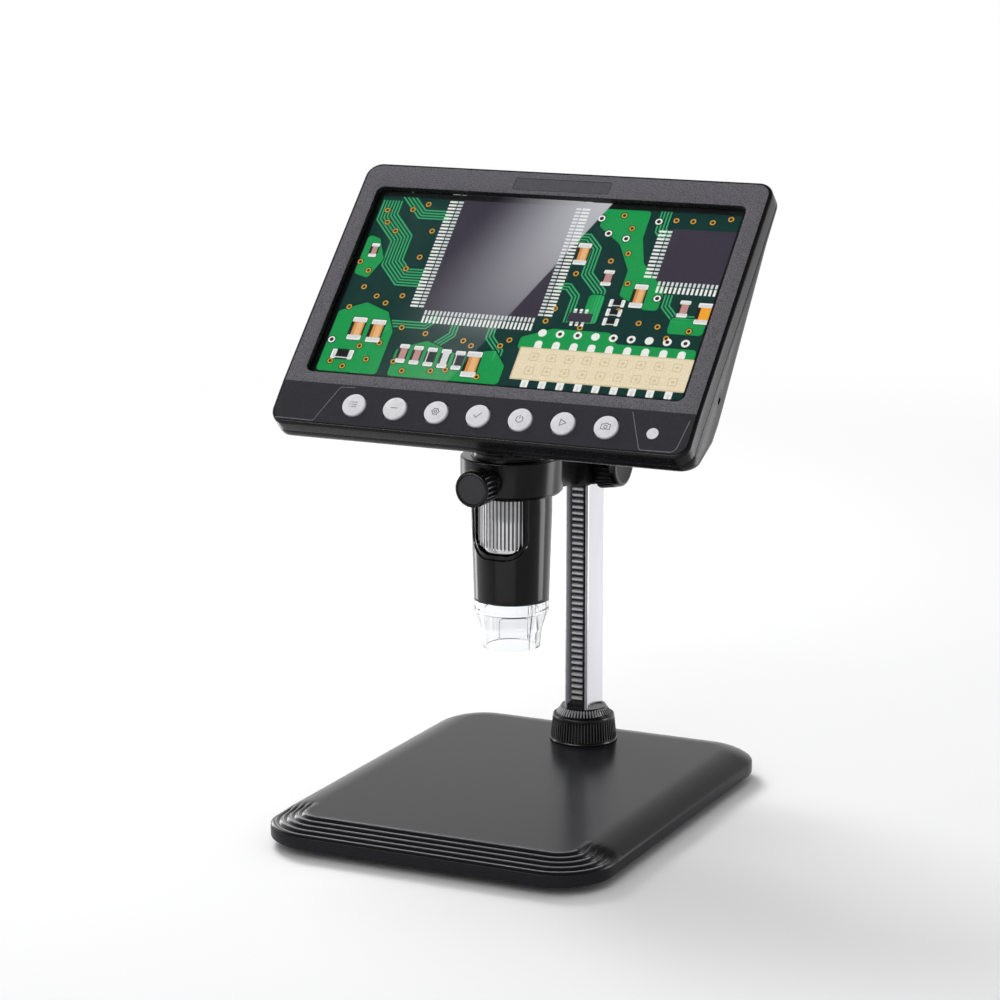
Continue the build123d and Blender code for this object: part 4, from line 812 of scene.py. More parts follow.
# Knob: radius = outline radius - depth * groove wave, where the grooves stop short of the front rim.
def makeClampKnob():
    shape = clampKnobShape
    angles = evenAngles(shape["ribs"] * 12)
    high = shape["high"]
    z = np.array([shape["low"], shape["low"] + 0.3, shape["low"] + 0.8, high - 1.9, high - 1.5, high - 1.2,
                  high - 0.7, high - 0.35, high - 0.1, high])
    radius = shape["radius"] - np.array([0.5, 0.15, 0.0, 0.0, 0.0, 0.0, 0.1, 0.35, 0.7, 1.1])
    reach = np.array([1, 1, 1, 1, 0.75, 0.35, 0.1, 0, 0, 0.0])
    groove = 1 - ribWave(angles, shape["ribs"], shape["grooveShare"], shape["flankShare"])
    side = turnedGrid(radius[:, None] - shape["ribDepth"] * reach[:, None] * groove[None, :], z[:, None], angles)
    face, floor = shape["faceRadius"], high - shape["dish"]
    # over the rim into the dish, whose floor is a grey disc
    front = np.array([[face + 0.1, high], [face, high - 0.1], [face - 0.1, floor], [face - 0.4, floor + 0.04],
                      [0.0, floor + 0.08]])
    back = np.array([[0.0, shape["low"]]])
    rows = np.concatenate([turnedGrid(back[:, :1], back[:, 1:], angles), side,
                           turnedGrid(front[:, :1], front[:, 1:], angles)])
    count = len(rows) - 1
    slots = np.repeat(np.where(np.arange(count) >= count - 2, 1, 0), len(angles))
    piece = gridPiece("clampKnobCap", rows, clampPlace, capEnds=False, slots=slots)
    settle(piece, "clamp", "knob_black", [knobAbs, discAbs], "clamp_knob")


focusKnobShape = {
    "low": 13.0, "ribEnd": 20.0, "high": 22.4, "radiusInner": 11.2, "radiusOuter": 10.2, "radiusEnd": 9.55,
    "ribs": 34, "ribDepth": 0.8, "face": 8.2, "dish": 0.2, "grooveShare": 0.3, "flankShare": 0.2,
}


# Focus knob: a cone with straight grooves along it, then a plain rounded end with a flat grey disc.
def makeFocusKnob(name, node, place):
    shape = focusKnobShape
    angles = evenAngles(shape["ribs"] * 10)
    low, end, high = shape["low"], shape["ribEnd"], shape["high"]
    z = np.array([low, low + 0.15, low + 0.5, end - 0.9, end - 0.5, end - 0.2, end, end + 0.5, end + 1.0, high - 0.9,
                  high - 0.45, high - 0.15, high])
    cone = np.interp(z, [low, end, high], [shape["radiusInner"], shape["radiusOuter"], shape["radiusEnd"]])
    edge = np.array([0.5, 0.15, 0, 0, 0, 0, 0, 0, 0, 0, 0.08, 0.28, 0.55])
    reach = np.array([1, 1, 1, 1, 0.8, 0.35, 0, 0, 0, 0, 0, 0, 0.0])
    groove = 1 - ribWave(angles, shape["ribs"], shape["grooveShare"], shape["flankShare"])
    side = turnedGrid((cone - edge)[:, None] - shape["ribDepth"] * reach[:, None] * groove[None, :],
                      z[:, None], angles)
    back = turnedGrid(np.array([[0.0]]), np.array([[low]]), angles)
    floor = high - shape["dish"]
    face = np.array([[shape["face"], high - 0.02], [shape["face"] - 0.3, floor], [0.0, floor]])
    rows = np.concatenate([back, side, turnedGrid(face[:, :1], face[:, 1:], angles)])
    count = len(rows) - 1
    slots = np.repeat(np.where(np.arange(count) >= count - 2, 1, 0), len(angles))
    piece = gridPiece(name, rows, place, capEnds=False, slots=slots)
    settle(piece, "pinion", "knob_black", [knobAbs, discAbs], node)


def makeCarriage():
    block = mergedCopy("carriageHousing", "carriage_block")
    settle(breakEdges(block, 0.5, 3), "carriage", "case_black", armAbs, "carriage_block")
    arm = mergedCopy("ringArm", "holder_arm")
    settle(breakEdges(arm, 0.45, 3), "carriage", "barrel_black", armAbs, "holder_arm")


makeClampKnob()
makeFocusKnob("focusKnobRight", "focus_knob_right", shaftPlace)
makeFocusKnob("focusKnobLeft", "focus_knob_left", mirroredShaft)
makeCarriage()
print("carriage made")

# The camera barrel.
barrelShape = {
    "bottom": 88.8, "tip": 14.65, "taperTop": 124.0, "radius": 15.75, "neckLow": 146.2, "neck": 15.3, "top": 147.5,
    "windowHalf": 10.5, "windowLow": 108.2, "windowTop": 133, "windowCorner": 7.0, "rimWidth": 1.5, "rimDepth": 0.6,
    "cutFrom": 6.0, "cutTo": 18.0,
    # radius and height down the inside
    "inside": [(13.9, 147.5), (13.9, 106.95), (10.3, 106.95), (10.3, 94.2), (12.4, 94.2), (12.4, 88.9)],
}


# Signed distance from the window's U: negative inside it, with round lower corners.
def windowDistance(across, z):
    shape = barrelShape
    corner = shape["windowCorner"]
    sideways = np.abs(across) - (shape["windowHalf"] - corner)
    downwards = (shape["windowLow"] + corner) - z
    outside = np.hypot(np.maximum(sideways, 0), np.maximum(downwards, 0))
    return outside + np.minimum(np.maximum(sideways, downwards), 0) - corner


# Barrel: radius = taper line - rim depth where the window's distance is under the rim width. The
# angles and heights are close together at the windows, front and rear, and wide apart elsewhere.
def makeBarrel():
    shape = barrelShape
    reach = math.radians(58)
    front = np.linspace(-math.pi / 2 - reach, -math.pi / 2 + reach, 130)
    rear = front + math.pi
    gap = np.linspace(front[-1], rear[0], 16)[1:-1]
    angles = np.concatenate([front, gap, rear, gap + math.pi])
    heights = np.concatenate([[88.8, 88.95, 89.3], np.linspace(90, 104, 8), np.linspace(104.4, 126, 84),
                              [128, 132, 140, 145.4]])
    line = np.interp(heights, [shape["bottom"], shape["taperTop"]], [shape["tip"], shape["radius"]])
    line[:2] -= (0.35, 0.1)
    across = np.cos(angles)[None, :] * line[:, None]
    distance = windowDistance(across, heights[:, None])
    sunk = shape["rimDepth"] * (1 - smoothStep(shape["rimWidth"] - 0.2, shape["rimWidth"] + 0.2, distance))
    outer = turnedGrid(line[:, None] - sunk, heights[:, None], angles)
    upper = roundedPath([(shape["radius"], 145.6), (shape["radius"], shape["neckLow"]),
                         (shape["neck"], shape["neckLow"]), (shape["neck"], shape["top"])], [0, 0.2, 0.15, 0], 3)
    inner = np.array(shape["inside"])
    rows = np.concatenate([outer, turnedGrid(upper[:, :1], upper[:, 1:], angles),
                           turnedGrid(inner[:, :1], inner[:, 1:], angles)])
    piece = gridPiece("barrelTube", rows, barrelPlace, wrapRows=True)
    half, low, top, corner = shape["windowHalf"], shape["windowLow"], shape["windowTop"], shape["windowCorner"]
    outline = roundedPath([(-half, top), (-half, low), (half, low), (half, top)], [0, corner, corner, 0], 14)
    cutters = []
    for sign in (-1, 1):
        slab = [np.column_stack([outline[:, 0], np.full(len(outline), sign * y), outline[:, 1]])
                for y in (shape["cutFrom"], shape["cutTo"])]
        cutters.append(gridPiece("windowCutter", np.array(slab), barrelPlace))
    cutAway(piece, cutters, 30)
    settle(breakEdges(piece, 0.22, 2, 40), "barrel", "barrel_black", barrelAbs, "barrel_shell")


wheelShape = {
    "low": 107.3, "high": 129.9, "radius": 13.2, "bore": 10.3, "flutes": 52, "depth": 0.45, "collar": 3.0,
    "grooveShare": 0.16, "flankShare": 0.16,
}


# Focus wheel: radius = cylinder - depth * narrow groove wave, grooves ending above a round collar.
def makeFocusWheel():
    shape = wheelShape
    angles = evenAngles(shape["flutes"] * 10)
    low, high = shape["low"], shape["high"]
    z = np.concatenate([low + np.array([0.0, 0.12, 0.4, 0.9, 1.5, 2.1, 2.6, 3.0, 3.2, 3.4, 3.6, 3.9]),
                        [high - 0.6, high - 0.2, high]])
    edge = np.concatenate([[1.5, 1.05, 0.6, 0.25, 0.06, 0.0, 0.0, 0.0, 0, 0, 0, 0], [0, 0.1, 0.4]])
    reach = smoothStep(low + shape["collar"], low + shape["collar"] + 0.7, z)
    groove = 1 - ribWave(angles, shape["flutes"], shape["grooveShare"], shape["flankShare"])
    side = turnedGrid((shape["radius"] - edge)[:, None] - shape["depth"] * reach[:, None] * groove[None, :],
                      z[:, None], angles)
    bore = np.array([[shape["bore"], high], [shape["bore"], low]])
    slots = np.zeros((len(side) + len(bore), len(angles)), int)
    # the groove faces are a rougher chrome painted darker as shade
    slots[:len(side)] = (reach[:, None] > 0.5) & (groove[None, :] > 0.4)
    piece = gridPiece("flutedWheel", np.concatenate([side, turnedGrid(bore[:, :1], bore[:, 1:], angles)]),
                      barrelPlace, wrapRows=True, slots=slots.ravel())
    settle(piece, "focus_wheel", "wheel_chrome", [chromeMetal, fluteShadeMetal], "focus_wheel")


noseShape = {
    "outside": [(14.65, 88.65), (14.65, 84.25), (14.15, 83.95), (11.9, 76.8), (11.2, 69.6)],
    "inside": [(9.9, 69.6), (10.6, 76.8), (11.02, 84.25), (11.02, 92.05), (12.32, 92.05), (12.32, 88.65)],
    "reliefTurn": 0.5, "reliefHalf": 5.6, "reliefTop": 83.6, "reliefLow": 74.6, "reliefCorner": 1.6,
    "reliefDepth": 0.3, "reliefWidth": 0.25, "groundWidth": 0.16,
    "ridges": (1.19, 2.8, 4.3), "ridgeDepth": 0.25, "ridgeWidth": 0.05, "ridgeLow": (73.0, 74.5),
    "ridgeHigh": (84.5, 86.0),
}


# Nose cap: a clear cup. Its wall carries an arched groove at the front and upright ridges inside.
# Outer radius = outline - relief depth * exp(-(distance from the arch / its width) squared).
def makeNoseCap():
    shape = noseShape
    angles = evenAngles(400)
    outline = roundedPath(shape["outside"], [0, 0.12, 0.15, 6.0, 0], 6)
    heights = np.unique(np.concatenate([outline[:, 1], np.linspace(88.4, 84.4, 12), np.linspace(83.8, 70.0, 76),
                                        [69.85, 69.68]]))[::-1]
    line = np.interp(-heights, -outline[:, 1], outline[:, 0])
    line[-1] -= 0.25
    line[-2] -= 0.08
    arc = (angles + math.pi / 2 + math.pi) % fullTurn - math.pi  # 0 at the front
    across = np.sin(arc - shape["reliefTurn"])[None, :] * line[:, None]
    facing = np.cos(arc - shape["reliefTurn"])[None, :] > 0
    corner = shape["reliefCorner"]
    sideways = np.abs(across) - (shape["reliefHalf"] - corner)
    upwards = heights[:, None] - (shape["reliefTop"] - corner)
    outside = np.hypot(np.maximum(sideways, 0), np.maximum(upwards, 0))
    arch = outside + np.minimum(np.maximum(sideways, upwards), 0) - corner
    legs = smoothStep(shape["reliefLow"], shape["reliefLow"] + 1.2, heights)[:, None]
    groove = np.exp(-(arch / shape["reliefWidth"]) ** 2) * facing * legs
    outer = turnedGrid(line[:, None] - shape["reliefDepth"] * groove, heights[:, None], angles)
    inside = roundedPath(shape["inside"], [0.2, 6.0, 2.0, 0.2, 0.2, 0], 5)
    ridge = sum(np.exp(-(((arc - turn + math.pi) % fullTurn - math.pi) / shape["ridgeWidth"]) ** 2)
                for turn in shape["ridges"])
    reach = smoothStep(*shape["ridgeLow"], inside[:, 1]) * (1 - smoothStep(*shape["ridgeHigh"], inside[:, 1]))
    inner = turnedGrid(inside[:, :1] - shape["ridgeDepth"] * reach[:, None] * ridge[None, :], inside[:, 1:], angles)
    # the middle of the arch is matt
    ground = (np.abs(arch) < shape["groundWidth"]) & facing & (heights[:, None] > shape["reliefLow"])
    slots = np.zeros((len(outer) + len(inner), len(angles)), int)
    slots[:len(outer)] = ground
    piece = gridPiece("clearNose", np.concatenate([outer, inner]), barrelPlace, wrapRows=True, sharpAngle=30,
                      slots=slots.ravel())
    settle(piece, "nose_cap", "clear_plastic", [clearAcrylic, groundAcrylic], "nose_cap")


def makeHead():
    head = mergedCopy("barrelCrown", "barrel_head")
    settle(breakEdges(head, 0.4, 3), "barrel", "barrel_black", armAbs, "barrel_head")


makeBarrel()
makeFocusWheel()
makeNoseCap()
makeHead()
print("barrel made")

# The display unit, in its own frame: x to the right, y up the face, z out of the glass.
lean = math.radians(44.1)
displayPlace = axes((0, 3.85, 208.5), (1, 0, 0), (0, math.sin(lean), math.cos(lean)),
                    (0, -math.cos(lean), math.sin(lean)))
tilt = math.radians(3.0)
foldS = -50.45
fasciaPlace = axes(placed([0, foldS, 0], displayPlace), (1, 0, 0),
                   placed([0, math.cos(tilt), math.sin(tilt)], displayPlace) - displayPlace[0],
                   placed([0, -math.sin(tilt), math.cos(tilt)], displayPlace) - displayPlace[0])

caseShape = {
    "half": 87.5, "top": 57.4, "bottom": -69.3, "corner": 6.5, "wall": 2.2, "frontRound": 1.4, "seam": 7.0,
    "openX": 79.0, "openS": 45.2, "openCorner": 2.8, "glass": 2.3, "foldX": 81.0, "lipRound": 0.35,
    "buttonHole": 5.15, "lensSpot": (71.4, -9.65), "lensHole": 2.45, "panelDepth": 0.5, "plateDepth": 0.4,
}
buttonSpots = [(17.57 * (k - 3), -8.85) for k in range(7)]


# Every loop of the case has the same columns: runs along its ends and sides, and eight points at each
# corner. The right half's corners are given and its left half is their mirror image.
endRun = np.linspace(-1, 1, 24)[:, None]
sideRun = np.linspace(-1, 1, 14)[:, None]


def mirroredLoop(endX, low, high, sideX, sideS, cornerLow, cornerTop):
    flip = np.array([-1, 1])
    right = np.hstack([np.full_like(sideRun, sideX), sideS * sideRun])
    return np.concatenate([
        np.hstack([endX * endRun, np.full_like(endRun, low)]), cornerLow, right, cornerTop,
        np.hstack([-endX * endRun, np.full_like(endRun, high)]), cornerTop[::-1] * flip, right[::-1] * flip,
        cornerLow[::-1] * flip])


# The case's outer outline at an inset. Its corners run from the ends round to the straight of the side,
# which spans the height between the fold and its mirror image.
def caseLoop(inset):
    shape = caseShape
    half, corner, flatX = shape["half"] - inset, shape["corner"] - inset, shape["foldX"]
    low, high = shape["bottom"] + inset, shape["top"] - inset
    turn = np.linspace(0, math.pi / 2, 9)[:, None]
    arcLow = np.hstack([flatX + corner * np.cos(turn), low + corner - corner * np.sin(turn)])
    arcTop = np.hstack([flatX + corner * np.cos(turn), high - corner + corner * np.sin(turn)])
    return mirroredLoop(flatX, low, high, half, -foldS, arcLow[::-1][1:], arcTop[:-1])


# The rectangle whose lower side is the fold, with each corner's columns drawn together at its corner.
def foldLoop():
    flatX = caseShape["foldX"]
    cornerLow, cornerTop = np.repeat([[flatX, foldS]], 8, axis=0), np.repeat([[flatX, -foldS]], 8, axis=0)
    return mirroredLoop(flatX, foldS, -foldS, flatX, -foldS, cornerLow, cornerTop)


# The opening's outline, grown by an amount.
def openingLoop(grow):
    shape = caseShape
    halfX, halfS, corner = shape["openX"] + grow, shape["openS"] + grow, shape["openCorner"] + grow
    turn = np.linspace(0, math.pi / 2, 10)[1:-1, None]
    flatX, flatS = halfX - corner, halfS - corner
    arcTop = np.hstack([flatX + corner * np.cos(turn), flatS + corner * np.sin(turn)])
    return mirroredLoop(flatX, -halfS, halfS, halfX, flatS, arcTop[::-1] * np.array([1, -1]), arcTop)


# The two sides of a path at half a width from it, mitred at its bends.
def sidesOf(points, width, closed=False):
    points = np.asarray(points, float)
    if closed:
        before, after = points - np.roll(points, 1, axis=0), np.roll(points, -1, axis=0) - points
    else:
        steps = np.diff(points, axis=0)
        before, after = np.concatenate([steps[:1], steps]), np.concatenate([steps, steps[-1:]])
    before = before / np.linalg.norm(before, axis=1, keepdims=True)
    after = after / np.linalg.norm(after, axis=1, keepdims=True)
    middle = before + after
    middle = middle / np.linalg.norm(middle, axis=1, keepdims=True)
    stretch = width / 2 / np.maximum((middle * before).sum(axis=1), 0.35)
    offset = np.stack([-middle[:, 1], middle[:, 0]], axis=-1) * stretch[:, None]
    return points + offset, points - offset


# A bar of a width along a path, from a low to a high level: four rows, left low, left high, right high,
# right low.
def strokePiece(name, points, width, low, high, place, closed=False, slot=0):
    left, right = sidesOf(points, width, closed)
    count = len(left)
    low, high = np.broadcast_to(low, (count,)), np.broadcast_to(high, (count,))
    grid = np.array([np.column_stack([side, level]) for side, level in
                     ((left, low), (left, high), (right, high), (right, low))])
    faces = gridFaces(4, count, wrapRows=True, wrapColumns=closed).tolist()
    if not closed:
        faces += [[0, count, 2 * count, 3 * count], [count - 1, 2 * count - 1, 3 * count - 1, 4 * count - 1]]
    return makePiece(name, placed(grid, place), faces, slots=np.full(len(faces), slot))


def prismPiece(name, outline, low, high, place):
    rows = [np.column_stack([outline, np.full(len(outline), z)]) for z in (low, high)]
    return gridPiece(name, np.array(rows), place)


def circleOutline(x, y, radius, count=56):
    turn = evenAngles(count)
    return np.stack([x + radius * np.cos(turn), y + radius * np.sin(turn)], axis=-1)


panelOutline = np.array([(-61.0, -1.6), (61.0, -1.6), (68.0, -16.95), (-68.0, -16.95)])
# Moulded lines that run on from the panel's lower corners to both ends of the fascia, painted light as a highlight
bezelLines = [
    roundedPath([(-84.6, -16.8), (-68.0, -16.95), (-61.2, -1.3), (-55.0, -0.9)], [0, 1.2, 1.2, 0], 4),
    roundedPath([(61.2, -1.3), (68.0, -16.95), (82.2, -16.8), (84.4, -3.0)], [0, 1.2, 3.0, 0], 6),
]


# The front frame: loops from the opening over the face and its round edge to the seam, then back
# inside the wall. Below the fold the face leans back by the tilt.
def makeBezel():
    shape = caseShape
    lip, edge, seam = shape["lipRound"], shape["frontRound"], shape["seam"]
    loops = [(openingLoop(0), shape["glass"]), (openingLoop(0), lip), (openingLoop(0.1), 0.1),
             (openingLoop(lip), 0.0), (foldLoop(), 0.0)]
    faceLoop = len(loops) - 1  # the face lies between this loop and the next
    for turn in np.linspace(0, math.pi / 2, 6):
        loops.append((caseLoop(edge * (1 - math.sin(turn))), edge * (1 - math.cos(turn))))
    loops += [(caseLoop(0), seam - 0.25), (caseLoop(0.12), seam - 0.06), (caseLoop(0.3), seam),
              (caseLoop(shape["wall"]), seam), (caseLoop(shape["wall"]), shape["glass"])]
    rows = []
    for k, (loop, depth) in enumerate(loops):
        leans = faceLoop <= k < faceLoop + 7  # the face and its round edge
        leanBack = np.maximum(foldS - loop[:, 1], 0) * math.tan(tilt) * leans
        rows.append(np.column_stack([loop, -(depth + leanBack)]))
    # of the face, what reaches below the fold is the smooth fascia and the rest is the grained frame
    reachLow = np.minimum(loops[faceLoop][0][:, 1], loops[faceLoop + 1][0][:, 1])
    reachLow = np.minimum(reachLow, np.roll(reachLow, -1))
    slots = np.full((len(loops), len(reachLow)), 2)
    slots[faceLoop - 1] = 0
    slots[faceLoop] = np.where(reachLow < foldS - 0.01, 1, 0)
    piece = gridPiece("bezelFrame", np.array(rows), displayPlace, wrapRows=True, sharpAngle=30,
                      slots=slots.ravel())
    # the cutters stand 2 mm clear of the face
    cutters = [prismPiece("holeCutter", circleOutline(x, s, shape["buttonHole"]), -9, 2, fasciaPlace)
               for x, s in buttonSpots]
    lensHole = circleOutline(*shape["lensSpot"], shape["lensHole"])
    cutters.append(prismPiece("lensCutter", lensHole, -9, 2, fasciaPlace))
    panelRecess = panelOutline * np.array([61.15 / 61, 1])  # a hair wider than the panel
    cutters.append(prismPiece("panelCutter", panelRecess, -shape["panelDepth"], 2, fasciaPlace))
    plateRecess = roundedBox(-20.65, 47.45, 20.65, 53.35, 0.6, 3)
    cutters.append(prismPiece("plateCutter", plateRecess, -shape["plateDepth"], 2, displayPlace))
    finishes = [bezelAbs, fasciaAbs, caseAbs]
    cutAway(piece, cutters, 30, finishes)
    breakEdges(piece, 0.12, 2, 40)
    settle(piece, "display", "case_black", finishes, "front_bezel")
    lines = [strokePiece("mouldedLine", points, 0.32, -0.3, 0.07, fasciaPlace) for points in bezelLines]
    settle(joined("fasciaLines", lines), "display", "case_black", lineHighlightAbs)


glassShape = {"front": 2.3, "back": 3.18, "overlap": 3.3, "corner": 2.0, "edge": 0.15}


# Cover glass: a plate with a fine ground edge, behind the opening.
def makeGlass():
    shape = glassShape
    halfX, halfS = caseShape["openX"] + shape["overlap"], caseShape["openS"] + shape["overlap"]
    outline = roundedBox(-halfX, -halfS, halfX, halfS, shape["corner"], 4)
    rows = []
    for inset, depth in ((shape["edge"], shape["back"]), (0, shape["back"] - shape["edge"]),
                         (0, shape["front"] + shape["edge"]), (shape["edge"], shape["front"])):
        shrink = 1 - inset / np.array([halfX, halfS])
        rows.append(np.column_stack([outline * shrink, np.full(len(outline), -depth)]))
    piece = gridPiece("coverGlass", np.array(rows), displayPlace)
    settle(piece, "display", "cover_glass", coverGlass, "cover_glass")


# The picture that the screen shows: an invented circuit board under a microscope, as flat shapes a
# hundredth of a millimetre apart, from the board at the back to the print in front.
pictureShape = {
    "halfX": 77.05, "halfS": 42.95, "edgeX": 79.2, "edgeS": 45.4, "back": 3.29, "layerStep": 0.012,
    "traceWidth": 0.62, "tracePitch": 1.32, "legPitch": 7.35,
    "board": "#05312d", "copper": "#14944a", "trace": "#36a96a", "outline": "#052723",
    "chip": "#37323f", "pin": "#e9ebe6", "gold": "#cf9f3c", "hole": "#30110c",
    "tan": "#d3934c", "tanLight": "#e3b27c", "silver": "#d6d8d8", "cream": "#e6d8b8", "creamDark": "#d3c3a0",
    "ink": "#141216", "black": "#050506", "amber": "#f0a32c", "rose": "#b98a84",
}


# Collects flat shapes; each outline is turned counter-clockwise, so that all of them face the glass.
class Picture:
    def __init__(self):
        self.points, self.faces, self.colours, self.count = [], [], [], 0

    def add(self, outline, colour, layer):
        outline = np.asarray(outline, float)
        after = np.roll(outline, -1, axis=0)
        if (outline[:, 0] * after[:, 1] - outline[:, 1] * after[:, 0]).sum() < 0:
            outline = outline[::-1]
        depth = -(pictureShape["back"] - pictureShape["layerStep"] * layer)
        self.points.append(np.column_stack([outline, np.full(len(outline), depth)]))
        self.faces.append(list(range(self.count, self.count + len(outline))))
        self.colours.append(np.tile(linearColour(pictureShape[colour]), (len(outline), 1)))
        self.count += len(outline)

    def box(self, x0, s0, x1, s1, colour, layer, corner=0.0):
        self.add(roundedBox(x0, s0, x1, s1, corner, 4), colour, layer)

    def disc(self, x, s, radius, colour, layer):
        self.add(circleOutline(x, s, radius, 20), colour, layer)

    def line(self, points, colour, layer, width):
        left, right = sidesOf(points, width)
        for k in range(len(left) - 1):
            self.add([left[k], left[k + 1], right[k + 1], right[k]], colour, layer)

    def via(self, x, s, radius=1.2, ring="gold"):
        self.disc(x, s, radius * 1.28, "outline", 3)
        self.disc(x, s, radius, ring, 4)
        self.disc(x, s, radius * 0.56, "hole", 5)


# A chip with a bar of pins, in two parts each, along the sides that are asked for.
def drawChip(picture, x0, s0, x1, s1, sides, pitch=1.65, reach=6.0):
    picture.box(x0, s0, x1, s1, "chip", 5, 0.4)
    width = 0.56 * pitch
    for side in sides:
        low, high = (s0, s1) if side in "lr" else (x0, x1)
        edge, sign = {"l": (x0, -1), "r": (x1, 1), "b": (s0, -1), "t": (s1, 1)}[side]
        for at in np.arange(low + pitch, high - 0.4 * pitch, pitch):
            for start, end, colour in ((0.0, 0.36, "silver"), (0.43, 1.0, "pin")):
                near, far = sorted((edge + sign * reach * start, edge + sign * reach * end))
                if side in "lr":
                    picture.box(near, at - width / 2, far, at + width / 2, colour, 5, 0.22)
                else:
                    picture.box(at - width / 2, near, at + width / 2, far, colour, 5, 0.22)


# A bundle of parallel traces: the same bends, each a pitch further to one side. The first one lies on
# the path, to within a nanometre.
def drawBundle(picture, points, count, side):
    for k in range(count):
        left, right = sidesOf(points, 2 * pictureShape["tracePitch"] * k + 1e-6)
        picture.line(left if side > 0 else right, "trace", 2, pictureShape["traceWidth"])


# A chip capacitor or resistor: solder at both ends, a body between them.
def drawPart(picture, x, s, width, length, body, upright=True):
    def rect(acrossLow, alongLow, acrossHigh, alongHigh, colour, layer, corner):
        if upright:
            picture.box(x + acrossLow, s + alongLow, x + acrossHigh, s + alongHigh, colour, layer, corner)
        else:
            picture.box(x + alongLow, s + acrossLow, x + alongHigh, s + acrossHigh, colour, layer, corner)
    half, long, cap = width / 2, length / 2, 0.17 * length
    rect(-half - 0.7, -long - 1.0, half + 0.7, long + 1.0, "outline", 3, 0.6)
    for sign in (-1, 1):
        a, b = sorted((sign * (long + 0.7), sign * (long - cap)))
        rect(-half - 0.45, a, half + 0.45, b, "pin", 4, 0.4)
        a, b = sorted((sign * long, sign * (long - cap)))
        rect(-half, a, half, b, "silver", 5, 0.25)
    inner = long - cap
    rect(-half, -inner, half, inner, body, 6, 0.12)
    rect(-half, -inner, -half + 0.14 * width, inner, "hole" if body != "ink" else "silver", 6.4, 0.0)
    if body == "tan":
        rect(-0.1 * width, -inner, half - 0.12 * width, inner, "tanLight", 6.3, 0.1)


